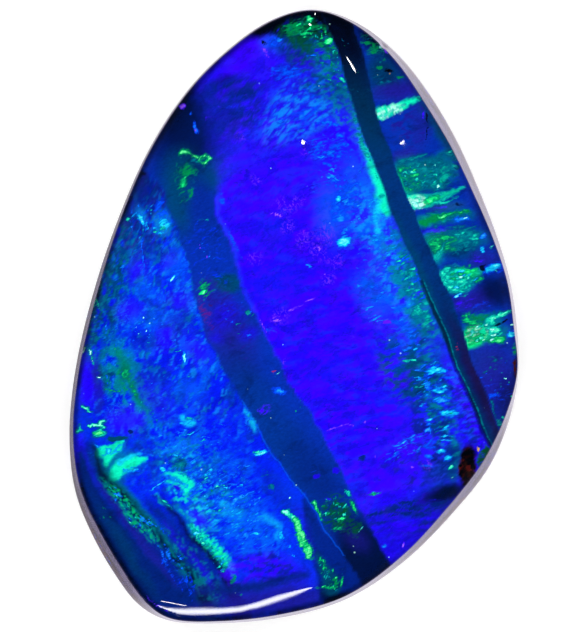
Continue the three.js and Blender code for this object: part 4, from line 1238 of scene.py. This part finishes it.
def paintRight(canvas):
    strokes(canvas, wash, [
        ("ink", 2.8, 9.9, 0.6, 0.4, -50, 0.6, 0.9), ("deepTeal", 3.15, 8.7, 0.7, 0.6, -60, 0.7, 0.8),
        ("indigo", 3.7, 8.05, 0.8, 0.3, 8, 0.6, 0.9), ("indigo", 4.2, 8.7, 0.9, 0.25, -52, 0.7, 0.9),
        ("band", 3.9, 6.5, 0.9, 0.6, -60, 0.7, 0.8), ("indigo", 4.5, 6.8, 0.3, 0.7, 0, 0.8, 0.5),
        ("deepTeal", 5.3, 6.6, 1.3, 0.3, -58, 0.7, 0.8), ("indigo", 3.95, 5.75, 0.5, 0.16, 12, 0.7, 0.8),
        ("deepTeal", 4.6, 5.0, 0.9, 0.6, 5, 0.4, 0.95), ("band", 5.7, 5.1, 0.5, 0.7, 0, 0.6, 0.7),
        ("indigo", 5.4, 3.9, 0.6, 0.15, 8, 0.7, 0.8), ("ultramarine", 5.1, 3.05, 0.55, 0.15, 4, 0.6, 0.95),
        ("deepTeal", 5.7, 2.4, 0.8, 0.4, 0, 0.7, 0.8), ("indigo", 6.7, 2.1, 0.4, 0.3, 0, 0.7, 0.7),
        ("indigo", 6.3, 0.55, 0.8, 0.36, 12, 0.7, 0.9), ("ink", 7.2, 0.9, 0.6, 0.5, 0, 0.7, 0.85),
        ("deepTeal", 6.9, -1.7, 0.6, 0.4, -30, 0.8, 0.35), ("indigo", 7.2, -2.3, 1.3, 0.8, -72, 0.7, 0.75),
        ("ink", 7.6, -2.9, 0.8, 0.4, 70, 0.8, 0.6), ("ink", 7.95, -1.9, 0.6, 0.08, 88, 0.5, 0.8),
        ("navy", 6.9, 3.6, 1.0, 0.3, -68, 0.8, 0.8), ("ink", 3.2, 8.8, 0.7, 0.6, -60, 0.8, 0.4),
        ("teal", 4.7, 5.05, 0.95, 0.55, 5, 0.3, 0.75), ("green", 3.95, 4.85, 0.4, 0.5, 20, 0.7, 0.8),
        ("teal", 4.2, 5.3, 0.6, 0.4, 5, 0.6, 0.45), ("teal", 5.5, 3.9, 0.5, 0.2, 8, 0.8, 0.3),
        ("teal", 5.5, 5.7, 0.6, 0.2, 12, 0.6, 0.5), ("green", 4.9, 3.42, 0.5, 0.16, 10, 0.8, 0.75),
        ("teal", 5.9, 3.55, 0.5, 0.2, 12, 0.7, 0.6), ("green", 5.1, 2.6, 0.45, 0.32, 0, 0.8, 0.75),
        ("teal", 6.1, 2.75, 0.7, 0.28, 8, 0.7, 0.8), ("teal", 5.0, 2.1, 0.3, 0.3, 0, 0.7, 0.7),
        ("teal", 5.6, 1.25, 0.9, 0.45, 8, 0.3, 0.9), ("bright", 6.2, 1.55, 0.45, 0.16, 8, 0.6, 0.85),
        ("aqua", 5.45, 1.3, 0.45, 0.25, 0, 0.8, 0.8), ("teal", 6.7, -0.25, 0.7, 0.3, 20, 0.4, 0.8),
        ("green", 6.4, -0.72, 0.65, 0.36, 8, 0.3, 0.95), ("bright", 6.3, -0.78, 0.45, 0.26, 8, 0.6, 0.9),
        ("aqua", 6.75, -0.5, 0.4, 0.22, 20, 0.7, 0.8), ("green", 7.0, -0.65, 0.5, 0.26, 10, 0.8, 0.35),
    ])
    lines(canvas, "washes", [
        ("aqua", [(3.05, 7.26, 0.22), (3.6, 7.42, 0.18), (4.1, 7.62, 0.13), (4.42, 7.74, 0.07)], 0.04, 1),
        ("aqua", [(4.1, 4.03, 0.28), (4.8, 4.1, 0.2), (5.25, 4.3, 0.13), (6.12, 4.62, 0.02)], 0.05, 1),
        ("bright", [(4.65, 4.0, 0.12), (4.85, 4.1, 0.14), (5.2, 4.25, 0.06)], 0.1, 0.9),
        ("aqua", [(4.9, 2.0, 0.1), (5.2, 2.2, 0.07), (5.5, 2.6, 0.05), (6.5, 2.85, 0.08)], 0.1, 0.6),
    ])
    strokes(canvas, cloud, [
        ("aqua", 4.7, 5.05, 0.9, 0.5, 5, (0.26, 0.12), 15, 0.3, 0.6, 41),
        ("leaf", 4.5, 5.0, 0.9, 0.5, 5, (0.26, 0.14), 15, 0.3, 0.6, 42),
        ("deepTeal", 5.0, 5.05, 0.9, 0.6, 5, (0.3, 0.16), 15, 0.3, 0.7, 43),
        ("aqua", 5.7, 1.3, 0.8, 0.4, 10, (0.22, 0.12), 15, 0.4, 0.8, 44),
        ("pale", 6.45, -0.62, 0.5, 0.26, 12, (0.22, 0.14), 15, 0.3, 0.5, 45),
        ("pale", 3.4, 7.34, 0.5, 0.2, 15, (0.18, 0.1), 30, 0.5, 0.8, 46),
        ("pale", 4.35, 4.0, 0.35, 0.24, 15, (0.18, 0.12), 30, 0.55, 0.9, 47),
    ])
    strokes(canvas, veil, [
        ("teal", 4.6, 5.05, 1.0, 0.6, 5, 0.8), ("green", 4.1, 4.9, 0.5, 0.5, 20, 0.5),
        ("teal", 5.6, 5.75, 0.5, 0.2, 10, 0.5), ("teal", 5.3, 3.5, 1.0, 0.3, 8, 0.6),
        ("aqua", 4.9, 4.1, 0.9, 0.3, 10, 0.5), ("teal", 5.8, 2.75, 1.0, 0.45, 10, 0.72),
        ("green", 5.2, 2.6, 0.6, 0.4, 5, 0.56), ("green", 6.6, -0.2, 0.6, 0.4, 12, 0.6),
        ("aqua", 5.8, 1.2, 0.6, 0.4, 10, 0.6), ("azure", 6.6, 0.4, 0.5, 0.3, 0, 0.2),
        ("leaf", 2.9, 9.6, 0.6, 0.4, -50, 0.34), ("teal", 3.2, 8.6, 0.6, 0.5, -60, 0.2),
        ("indigo", 4.2, 6.7, 0.8, 0.8, 0, 0.34), ("teal", 6.9, -1.9, 0.7, 0.8, -20, 0.16),
        ("azure", 7.2, -2.6, 0.6, 1.0, -20, 0.2),
    ])
    strokes(canvas, flash, [
        ("leaf", 3.05, 8.88, 0.14, 0.07, -20, 0.95), ("leaf", 3.75, 8.5, 0.16, 0.07, 10, 0.95),
        ("black", 3.38, 8.75, 0.19, 0.11, 0, 1.4), ("amber", 3.45, 8.62, 0.05, 0.04, 0, 0.8),
        ("redBrown", 3.36, 8.68, 0.12, 0.05, 0, 0.8), ("pale", 3.22, 9.54, 0.2, 0.1, -42, 1.2),
        ("lavender", 3.28, 9.48, 0.12, 0.06, -42, 1.0), ("ink", 4.71, 6.8, 0.75, 0.03, 90, 1.2),
        ("violet", 4.6, 7.2, 0.25, 0.05, 90, 0.7), ("teal", 5.6, 5.8, 0.24, 0.1, 20, 0.95),
        ("aqua", 5.65, 5.85, 0.14, 0.05, 20, 1.1), ("teal", 5.7, 5.3, 0.12, 0.06, 0, 1.2),
        ("green", 4.0, 4.72, 0.2, 0.1, -30, 1.0), ("aqua", 4.25, 5.13, 0.13, 0.06, 0, 1.3),
        ("aqua", 4.37, 4.83, 0.1, 0.09, 0, 1.3), ("violet", 5.3, 3.88, 0.4, 0.08, 8, 0.5),
        ("ink", 5.9, 3.98, 0.22, 0.1, 0, 0.5), ("green", 4.95, 3.42, 0.3, 0.12, 10, 1.0),
        ("sky", 5.95, 3.42, 0.3, 0.09, 12, 1.1), ("pale", 6.1, 3.5, 0.1, 0.03, 30, 0.9),
        ("violet", 5.15, 3.03, 0.35, 0.08, 0, 0.5), ("green", 5.25, 2.67, 0.24, 0.13, 0, 1.0),
        ("aqua", 5.95, 2.85, 0.24, 0.1, 4, 0.95), ("aqua", 6.5, 2.82, 0.3, 0.14, 30, 0.9),
        ("sky", 6.8, 2.88, 0.13, 0.08, 20, 1.2), ("cyan", 6.75, 2.45, 0.09, 0.09, 0, 1.1),
        ("violet", 6.62, 2.15, 0.2, 0.13, 10, 0.55), ("aqua", 5.45, 1.5, 0.24, 0.22, 0, 1.0),
        ("aqua", 5.85, 1.35, 0.36, 0.22, 8, 1.0), ("bright", 6.25, 1.62, 0.42, 0.18, 8, 0.9),
        ("pale", 5.95, 1.42, 0.12, 0.06, 10, 0.9), ("green", 6.58, 1.3, 0.2, 0.13, 30, 1.1),
        ("aqua", 5.6, 1.02, 0.3, 0.08, -4, 1.0), ("cyan", 5.85, 0.75, 0.17, 0.05, 42, 1.4),
        ("cyan", 7.05, 1.72, 0.24, 0.14, 16, 1.2), ("pale", 7.15, 1.6, 0.06, 0.04, 0, 0.9),
        ("ink", 6.76, 1.78, 0.09, 0.14, 0, 1.2), ("violet", 6.15, 0.45, 0.5, 0.2, 20, 0.45),
        ("leaf", 6.6, -0.02, 0.34, 0.16, 16, 0.95), ("aqua", 6.98, -0.15, 0.26, 0.2, 40, 1.1),
        ("aqua", 7.4, 0.06, 0.34, 0.1, 20, 1.3), ("green", 6.45, -0.65, 0.42, 0.3, 0, 0.8),
        ("bright", 6.3, -0.85, 0.24, 0.14, 10, 0.8), ("aqua", 7.12, -0.5, 0.26, 0.12, 0, 1.3),
        ("green", 7.2, -0.85, 0.28, 0.12, 14, 1.1), ("pale", 7.05, -0.48, 0.12, 0.05, 0, 0.9),
        ("cyan", 7.72, -0.64, 0.2, 0.07, 8, 1.3), ("pale", 7.74, -0.33, 0.08, 0.04, 20, 1.2),
        ("ink", 7.35, -0.25, 0.3, 0.06, 20, 0.9), ("leaf", 7.9, -1.1, 0.16, 0.2, 0, 0.9),
        ("bright", 7.85, -1.05, 0.05, 0.06, 0, 0.9), ("redBrown", 7.93, -1.8, 0.06, 0.34, 0, 1.0),
        ("pale", 7.55, -2.25, 0.03, 0.04, 0, 1.4), ("green", 7.33, -2.46, 0.045, 0.03, 0, 1.4),
        ("aqua", 7.75, -2.85, 0.03, 0.04, 0, 1.2), ("teal", 7.3, -3.85, 0.15, 0.1, 40, 1.1),
        ("aqua", 7.45, -3.6, 0.06, 0.045, 20, 1.1), ("green", 7.6, -1.6, 0.1, 0.02, 35, 0.9),
    ])
    # The fingers of the right side
    lines(canvas, "flashes", [
        ("pale", [(3.14, 7.2, 0.1), (3.5, 7.35, 0.08), (3.95, 7.56, 0.03)], 0.1, 0.6),
        ("teal", [(4.42, 7.74, 0.04), (4.62, 7.7, 0.04), (4.8, 7.66, 0.05)], 0.03, 1.1),
        ("teal", [(3.75, 5.5, 0.03), (4.3, 5.68, 0.05), (4.75, 5.82, 0.02)], 0.05, 0.9),
        ("pale", [(4.22, 4.1, 0.08), (4.3, 3.92, 0.12), (4.45, 3.82, 0.05)], 0.1, 0.8),
        ("bright", [(4.6, 4.0, 0.08), (4.85, 4.15, 0.1), (5.15, 4.25, 0.05)], 0.1, 0.7),
        ("leaf", [(4.5, 3.32, 0.05), (4.9, 3.4, 0.13), (5.4, 3.58, 0.09), (6.2, 3.76, 0.05)], 0.08, 0.9),
        ("green", [(5.2, 3.52, 0.05), (6.1, 3.75, 0.03)], 0.03, 1.0),
        ("aqua", [(5.0, 2.02, 0.04), (5.22, 2.22, 0.06), (5.42, 2.6, 0.01)], 0.05, 0.8),
        ("pale", [(6.98, 2.5, 0.01), (7.12, 2.62, 0.015)], 0.015, 0.9),
        ("teal", [(6.98, -3.0, 0.03), (7.12, -3.5, 0.05), (7.2, -3.85, 0.06)], 0.04, 1.0),
    ])
    strokes(canvas, scribble, [
        ("pale", 5.02, 5.35, 0.14, 6, 0.02, 1.1, 81), ("aqua", 5.1, 4.95, 0.16, 7, 0.022, 1.1, 82),
        ("pale", 5.05, 4.66, 0.16, 6, 0.02, 1.1, 83), ("aqua", 4.2, 5.3, 0.3, 12, 0.022, 0.9, 84),
        ("teal", 4.1, 4.6, 0.26, 9, 0.03, 1.0, 86),
    ])
    strokes(canvas, strew, [
        (["aqua", "green", "teal"], 4.5, 5.0, 0.8, 0.5, 5, 40, (0.09, 0.025), 12, 40, 0.85, 87),
        (["aqua", "green", "cyan"], 5.9, 1.3, 0.6, 0.3, 10, 22, (0.12, 0.035), 14, 30, 0.9, 88),
        (["aqua", "green", "pale"], 6.8, -0.6, 0.6, 0.36, 10, 24, (0.12, 0.035), 14, 30, 0.85, 89),
        (["leaf", "teal"], 2.9, 9.5, 0.6, 0.25, -50, 20, (0.05, 0.03), 0, 60, 0.8, 90),
        (["teal", "azure", "aqua"], 7.1, -2.3, 0.6, 1.0, -20, 20, (0.045, 0.02), 20, 60, 0.9, 91),
    ])


def paintOpal(piece):
    canvas = startCanvas(piece)
    canvas["washes"]["blue"][:] = 1
    paintLeft(canvas)
    paintLowerLeft(canvas)
    paintBandFoot(canvas)
    # The band's sides blur towards its upper end.
    softLeft = 0.08 + 0.5 * ease((canvas["y"] - 4.2) / 2)
    openZone(canvas, rightOf(canvas, "bandLeft", softLeft), "band")
    paintBand(canvas)
    softRight = 0.1 + 1.2 * ease((canvas["y"] - 4.2) / 1.6)
    openZone(canvas, rightOf(canvas, "bandRight", softRight), "violetBlue")
    paintCentre(canvas)
    paintLavender(canvas)
    openZone(canvas, rightOf(canvas, "seamLeft", 0.05, "calmX"), "seam")
    paintSeam(canvas)
    openZone(canvas, rightOf(canvas, "seamRight", 0.04, "calmX"), "band")
    paintRight(canvas)
    height = canvas["height"]
    rightward = ease((canvas["x"] - 1) / 4)
    layers = {
        "fibrous": rightOf(canvas, "bandRight", 0.3),
        "offSeamLine": offLine(canvas, "seamLine"),
        "offBandLine": offLine(canvas, "bandLine"),
        # Painted shade, with the opal's thinning, at the face's edge, weaker towards the right
        "edge": ease((finish["edgeTop"] - height) / finish["edgeFade"]) * (1 - 0.65 * rightward),
        "rim": ease((finish["rimTop"] - height) / finish["rimFade"]),
        "bare": np.array([bareness(vert.co) for vert in piece.data.vertices]),
    }
    total = canvas["washes"][washHues[0]].copy()
    for hue in washHues[1:]:
        total += canvas["washes"][hue]
        layers["wash_" + hue] = canvas["washes"][hue] / np.maximum(total, 1e-6)
    for hue in flashHues:
        if canvas["flashes"][hue].max() > 0:
            field = canvas["flashes"][hue]
            layers["flash_" + hue] = field - 0.8 * (1 - ease(field / 0.16))
    for name, values in layers.items():
        layer = piece.data.attributes.new(name, "FLOAT", "POINT")
        layer.data.foreach_set("value", values.astype(np.float32))
    return list(layers)


def opalOnIronstone(layers):
    material = bpy.data.materials.new("opal_on_ironstone")
    material.use_nodes = True
    tree = material.node_tree
    tree.nodes.clear()
    grainGroup = makeGrainGroup()

    def grain(name, place):
        size, turn, detail, roughness, distortion, contrast = grains[name]
        values = {
            "Face": place, "Size": size, "Turn": (0, 0, math.radians(turn)), "Detail": detail,
            "Roughness": roughness, "Distortion": distortion, "Contrast": contrast,
        }
        return placeGroup(tree, grainGroup, values)["Grain"]

    def layer(name):
        return addNode(tree, "ShaderNodeAttribute", attribute_name=name).outputs["Fac"]

    place = addNode(tree, "ShaderNodeTexCoord").outputs["Object"]
    body = vectorMath(tree, "MULTIPLY", place, (1 / mm,) * 3)
    flat = vectorMath(tree, "MULTIPLY", body, (1, 1, 0))
    wisps, fibres, specks, clouds = [grain(name, flat) for name in ("wisps", "fibres", "specks", "clouds")]
    apart = calculate(tree, "SUBTRACT", fibres, wisps)
    strands = calculate(tree, "MULTIPLY_ADD", apart, layer("fibrous"), wisps)
    patchy = calculate(tree, "MULTIPLY_ADD", clouds, 0.44, -0.22)
    rough = calculate(tree, "ADD", calculate(tree, "MULTIPLY_ADD", strands, 0.8, -0.4), patchy)
    fine = calculate(tree, "MULTIPLY_ADD", specks, 0.24, -0.12)
    peaks = calculate(tree, "ADD", rough, fine)
    valleys = calculate(tree, "MULTIPLY_ADD", rough, -1, fine)

    colour = palette[washHues[0]]
    for hue in washHues[1:]:
        colour = blendColours(tree, layer("wash_" + hue), colour, palette[hue])
    colour = blendColours(tree, ramp(tree, clouds, 0.5, 1.0, 0, 0.4), colour, palette["ink"])
    for hue in [hue for hue in flashHues if "flash_" + hue in layers]:
        field = layer("flash_" + hue)
        if hue in curling:
            name, half = curling[hue]
            off = calculate(tree, "ABSOLUTE", calculate(tree, "SUBTRACT", grain(name, flat), 0.5))
            near = ramp(tree, off, half, 0.2 * half)
            curl = calculate(tree, "MULTIPLY", near, ramp(tree, specks, 0.2, 0.6))
            share = calculate(tree, "MULTIPLY", curl, ramp(tree, field, 0, 1))
            colour = blendColours(tree, share, colour, palette[hue])
            continue
        broken = calculate(tree, "ADD", field, valleys if hue in darkHues else peaks)
        if hue in runs:
            shades = colourRun(tree, broken, runs[hue])
            colour = blendColours(tree, ramp(tree, broken, 0.14, 0.72), colour, shades)
        else:
            colour = blendColours(tree, ramp(tree, broken, 0.2, 0.85), colour, palette[hue])

    # The fine lines: a bright one down the band, and a pale one with a dark one beside it down the seam
    offBand = calculate(tree, "ABSOLUTE", layer("offBandLine"))
    colour = blendColours(tree, ramp(tree, offBand, 0.06, 0.0, 0, 0.4), colour, palette["azure"])
    offSeam = layer("offSeamLine")
    besideSeam = calculate(tree, "ABSOLUTE", calculate(tree, "ADD", offSeam, 0.1))
    colour = blendColours(tree, ramp(tree, besideSeam, 0.12, 0.03, 0, 0.6), colour, palette["black"])
    onSeam = ramp(tree, calculate(tree, "ABSOLUTE", offSeam), 0.05, 0.005, 0, 1)
    patches = ramp(tree, strands, 0.2, 0.7, 0.15, 0.65)
    colour = blendColours(tree, calculate(tree, "MULTIPLY", onSeam, patches), colour, palette["teal"])

    speckled = ramp(tree, specks, 0.1, 0.9, 0.86, 1.06)
    shade = calculate(tree, "MULTIPLY", speckled, ramp(tree, strands, 0, 1, 0.92, 1.06))
    grey = addNode(tree, "ShaderNodeCombineColor", {"Red": shade, "Green": shade, "Blue": shade}).outputs[0]
    colour = blendColours(tree, 1.0, colour, grey, kind="MULTIPLY")
    cells = {"Face": flat, "Apart": finish["dustApart"], "Share": finish["dustShare"]}
    dust = placeGroup(tree, makeDustGroup(), cells)["Dust"]
    dusty = calculate(tree, "MULTIPLY", dust, finish["dustStrength"])
    colour = blendColours(tree, dusty, colour, palette["pale"])

    # The face darkens towards its edge, partly as the opal thins there and partly as painted shade, less of
    # it on the right. Under it the wall is dull mauve potch, and lower down brown ironstone, which is
    # polished on the wall, and bare at the wall's foot and on the back.
    edge = calculate(tree, "MULTIPLY", layer("edge"), ramp(tree, clouds, 0.1, 0.9, 0.95, 0.55))
    colour = blendColours(tree, edge, colour, palette["edgeInkAndShade"])
    lumps = grain("lumps", body)
    crumbs = grain("crumbs", body)
    ironstone = blendColours(tree, ramp(tree, lumps, 0.25, 0.75), finish["stoneDark"], finish["stoneLight"])
    ironstone = blendColours(tree, ramp(tree, lumps, 0.68, 0.95, 0, 0.8), ironstone, finish["stoneRust"])
    ironstone = blendColours(tree, ramp(tree, crumbs, 0.55, 0.2, 0, 0.7), ironstone, finish["stoneDark"])
    offVein = calculate(tree, "ABSOLUTE", calculate(tree, "SUBTRACT", grain("veins", body), 0.5))
    veins = calculate(tree, "MULTIPLY", ramp(tree, offVein, 0.05, 0.015), ramp(tree, lumps, 0.45, 0.65))
    ironstone = blendColours(tree, calculate(tree, "MULTIPLY", veins, 0.8), ironstone, palette["azure"])
    potch = blendColours(tree, ramp(tree, lumps, 0.3, 0.8), finish["rimColour"], finish["rimDeep"])
    height = addNode(tree, "ShaderNodeSeparateXYZ", {"Vector": body}).outputs["Z"]
    uneven = calculate(tree, "MULTIPLY_ADD", lumps, finish["potchWander"], height)
    below = ramp(tree, uneven, finish["potchFoot"] + 0.2, finish["potchFoot"] - 0.2, 0, 0.9)
    colour = blendColours(tree, layer("rim"), colour, blendColours(tree, below, potch, ironstone))
    bare = layer("bare")
    colour = blendColours(tree, bare, colour, ironstone)
    relief = calculate(tree, "MULTIPLY", crumbs, bare)
    bumpInputs = {"Height": relief, "Strength": 0.5, "Distance": finish["crumbRelief"] * mm}
    bump = addNode(tree, "ShaderNodeBump", bumpInputs)

    surface = addNode(
        tree,
        "ShaderNodeBsdfPrincipled",
        {
            "Base Color": colour,
            "Roughness": ramp(tree, bare, 0, 1, finish["polish"], finish["ground"]),
            "Normal": bump.outputs[0],
            "IOR": finish["refraction"],
        },
    )
    addNode(tree, "ShaderNodeOutputMaterial", {"Surface": surface.outputs["BSDF"]})
    print("material built:", len(tree.nodes), "nodes")
    return material


stone.data.materials.clear()
layers = paintOpal(stone)
print("opal painted:", len(layers), "layers")
stone.data.materials.append(opalOnIronstone(layers))
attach(stone, "root")
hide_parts("boulder_opal")


# The photograph's view: straight down, with the stone's length from the top to the bottom of its outline

view = {
    "imageWidth": 579,
    "imageHeight": 632,
    "outlineTop": 8.5,  # the stone's outline in the photograph, in pixels
    "outlineBottom": 624.3,
    "outlineLeft": 68.4,
    "outlineRight": 519.7,
    "outlineHeight": 0.75,  # mm above the back, where the stone is widest
    "distance": 1000,  # mm
    "filmHeight": 36,
}


def addCamera():
    length = stoneHigh.y - stoneLow.y
    pixel = length / (view["outlineBottom"] - view["outlineTop"])
    distance = view["distance"] * mm
    camera = bpy.data.objects.new("camera", bpy.data.cameras.new("camera"))
    bpy.context.scene.collection.objects.link(camera)
    camera.data.sensor_width = view["filmHeight"]
    camera.data.lens = view["filmHeight"] * distance / (view["imageHeight"] * pixel)
    acrossMiddle = (view["outlineLeft"] + view["outlineRight"]) / 2
    downMiddle = (view["outlineTop"] + view["outlineBottom"]) / 2
    middle = (stoneLow + stoneHigh) / 2
    camera.location = (
        middle.x + (view["imageWidth"] / 2 - acrossMiddle) * pixel,
        middle.y - (view["imageHeight"] / 2 - downMiddle) * pixel,
        view["outlineHeight"] * mm + distance,
    )
    camera.data.clip_start = distance / 100
    camera.data.clip_end = distance * 10
    bpy.context.scene.camera = camera
    return camera


camera = addCamera()


# The light: soft boxes all round that light the stone but aren't mirrored in its face, a pale floor,
# and a few small glowing sheets that show as points and as one long strip in the polish.

studio = {
    "boxes": 4,
    "boxSize": 260,  # mm
    "boxDistance": 420,
    "boxElevation": 52,  # degrees
    "boxPower": 0.94,  # watts
    "floorGlow": 0.25,
    "horizon": 0.05,
    "underGlow": 0.9,  # what the leaning wall mirrors
    "glowTint": (0.92, 0.88, 1, 1),
    "floorHalf": 2000,  # mm
    "highlightGlow": 60,
    "sheetDistance": 350,  # mm from the face to the glowing sheets
    "pointCorners": 12,
    "stripRows": 41,
    "stripColumns": 9,
}

# The points of light in the polish: where each shows on the face, in mm, and its half length, half width
# and turn in degrees
highlights = {
    "upperMiddle": (0.32, 6.19, 0.075, 0.06, 20),
    "upperRight": (3.86, 6.19, 0.1, 0.03, 35),
    "seamTop": (2.05, 8.95, 0.33, 0.022, -60),
    "tipLow": (0.57, 10.4, 0.05, 0.03, -30),
    "tipHigh": (0.76, 10.79, 0.05, 0.02, 60),
    "shoulderGhost": (-4.3, -10.24, 0.5, 0.012, -10),
}

# The long strip of light on the lower shoulder, as [x, y, half its width]
shoulderStrip = [
    (-4.85, -10.32, 0.01), (-4.5, -10.43, 0.07), (-4.07, -10.5, 0.13), (-3.6, -10.51, 0.16),
    (-3.1, -10.51, 0.16), (-2.6, -10.51, 0.13), (-1.95, -10.46, 0.12), (-1.25, -10.3, 0.13),
    (-0.5, -10.06, 0.14), (0.1, -9.87, 0.1), (0.4, -9.77, 0.06), (0.64, -9.68, 0.02),
]


def addLamp(name, place, target, size, power):
    lamp = bpy.data.objects.new(name, bpy.data.lights.new(name, "AREA"))
    bpy.context.scene.collection.objects.link(lamp)
    lamp.data.shape = "SQUARE"
    lamp.data.size = size
    lamp.data.energy = power
    lamp.location = place
    lamp.rotation_euler = (place - target).to_track_quat("Z", "Y").to_euler()
    lamp.visible_camera = False
    return lamp


def addSoftBoxes():
    middle = (stoneLow + stoneHigh) / 2
    for turn in range(studio["boxes"]):
        around = math.radians(45 + 360 * turn / studio["boxes"])
        up = math.radians(studio["boxElevation"])
        away = Vector((math.cos(around) * math.cos(up), math.sin(around) * math.cos(up), math.sin(up)))
        place = middle + away * studio["boxDistance"] * mm
        size = studio["boxSize"] * mm
        box = addLamp("softBox%d" % turn, place, middle, size, studio["boxPower"])
        box.visible_glossy = False


# Where a light must be for its mirror image to fall on a spot of the face
def throughMirror(tree, x, y):
    hit, _, index, _ = tree.ray_cast(Vector((x * mm, y * mm, 0.02)), Vector((0, 0, -1)))
    corners = [stone.data.vertices[corner] for corner in stone.data.polygons[index].vertices]
    normals = [corner.normal / ((corner.co - hit).length + 1e-6) for corner in corners]
    normal = sum(normals, Vector()).normalized()
    toCamera = (camera.location - hit).normalized()
    mirrored = 2 * normal.dot(toCamera) * normal - toCamera
    return hit + mirrored * studio["sheetDistance"] * mm


# Glowing sheets, each shaped so that its mirror image in the face has the shape of one highlight
def addHighlights(tree):
    bm = bmesh.new()
    glow = bm.verts.layers.float.new("glow")
    for x, y, length, width, turn in highlights.values():
        cosine, sine = math.cos(math.radians(turn)), math.sin(math.radians(turn))
        corners = []
        for step in range(studio["pointCorners"]):
            around = math.tau * step / studio["pointCorners"]
            along, aside = length * math.cos(around), width * math.sin(around)
            spot = (x + along * cosine - aside * sine, y + along * sine + aside * cosine)
            corners.append(bm.verts.new(throughMirror(tree, *spot)))
            corners[-1][glow] = 1
        bm.faces.new(corners)
    # The strip is brightest low down at its left end and high up at its right end, and fades across.
    xs, ys, halves = [np.array(column) for column in zip(*shoulderStrip)]
    steps = np.linspace(0, len(xs) - 1, studio["stripRows"])
    xs, ys, halves = [np.interp(steps, range(len(shoulderStrip)), column) for column in (xs, ys, halves)]
    slopes = np.arctan2(np.gradient(ys), np.gradient(xs)) + math.pi / 2
    previous = None
    for x, y, half, slope, bright in zip(xs, ys, halves, slopes, np.linspace(-0.4, 0.4, len(xs))):
        row = []
        for side in np.linspace(-1, 1, studio["stripColumns"]):
            spot = (x + half * side * math.cos(slope), y + half * side * math.sin(slope))
            row.append(bm.verts.new(throughMirror(tree, *spot)))
            row[-1][glow] = 0.02 + 0.42 * ease(1.1 - abs(side - bright))
        if previous:
            for low, high, nextHigh, nextLow in zip(previous, previous[1:], row[1:], row):
                bm.faces.new([low, high, nextHigh, nextLow])
        previous = row
    mesh = bpy.data.meshes.new("highlights")
    bm.to_mesh(mesh)
    bm.free()
    sheets = bpy.data.objects.new("highlights", mesh)
    bpy.context.scene.collection.objects.link(sheets)
    material = bpy.data.materials.new("lampGlow")
    material.use_nodes = True
    material.node_tree.nodes.clear()
    share = addNode(material.node_tree, "ShaderNodeAttribute", attribute_name="glow").outputs["Fac"]
    strength = calculate(material.node_tree, "MULTIPLY", share, studio["highlightGlow"])
    lit = addNode(material.node_tree, "ShaderNodeEmission", {"Strength": strength})
    addNode(material.node_tree, "ShaderNodeOutputMaterial", {"Surface": lit.outputs[0]})
    mesh.materials.append(material)
    sheets.visible_camera = False
    sheets.visible_diffuse = False
    sheets.visible_shadow = False


def addFloor():
    bm = bmesh.new()
    bmesh.ops.create_grid(bm, x_segments=1, y_segments=1, size=studio["floorHalf"] * mm)
    mesh = bpy.data.meshes.new("floor")
    bm.to_mesh(mesh)
    bm.free()
    floor = bpy.data.objects.new("floor", mesh)
    floor.location.z = stoneLow.z - 0.01 * mm
    floor.visible_glossy = False
    bpy.context.scene.collection.objects.link(floor)
    material = bpy.data.materials.new("paleFloor")
    material.use_nodes = True
    paper = material.node_tree.nodes["Principled BSDF"]
    values = {
        "Base Color": (0.9, 0.9, 0.9, 1), "Roughness": 1, "Specular IOR Level": 0,
        "Emission Color": (1, 1, 1, 1), "Emission Strength": studio["floorGlow"],
    }
    for name, value in values.items():
        paper.inputs[name].default_value = value
    mesh.materials.append(material)


# The room is dark overhead. The leaning wall mirrors a pale glow from below, which is dimmer on the
# upper left and a little dimmer on the far lower right.
def addRoom():
    world = bpy.data.worlds.new("room")
    bpy.context.scene.world = world
    world.use_nodes = True
    tree = world.node_tree
    tree.nodes.clear()
    direction = addNode(tree, "ShaderNodeTexCoord").outputs["Generated"]
    height = addNode(tree, "ShaderNodeSeparateXYZ", {"Vector": direction}).outputs["Z"]
    level = ramp(tree, height, 0.14, 0.02, 0.0, studio["horizon"])
    under = ramp(tree, height, -0.6, -0.9, 0.0, studio["underGlow"])
    side = vectorMath(tree, "DOT_PRODUCT", direction, (0.8, -0.6, 0), output="Value")
    under = calculate(tree, "MULTIPLY", under, ramp(tree, side, -0.14, 0.06, 0.3, 1.0))
    under = calculate(tree, "MULTIPLY", under, ramp(tree, side, 0.16, 0.3, 1.0, 0.72))
    glow = calculate(tree, "ADD", level, under)
    light = addNode(tree, "ShaderNodeBackground", {"Color": studio["glowTint"], "Strength": glow})
    addNode(tree, "ShaderNodeOutputWorld", {"Surface": light.outputs[0]})


addSoftBoxes()
face = BVHTree.FromObject(stone, bpy.context.evaluated_depsgraph_get())
addHighlights(face)
addFloor()
addRoom()
bpy.context.scene.view_settings.view_transform = "Standard"
print("light and camera set")
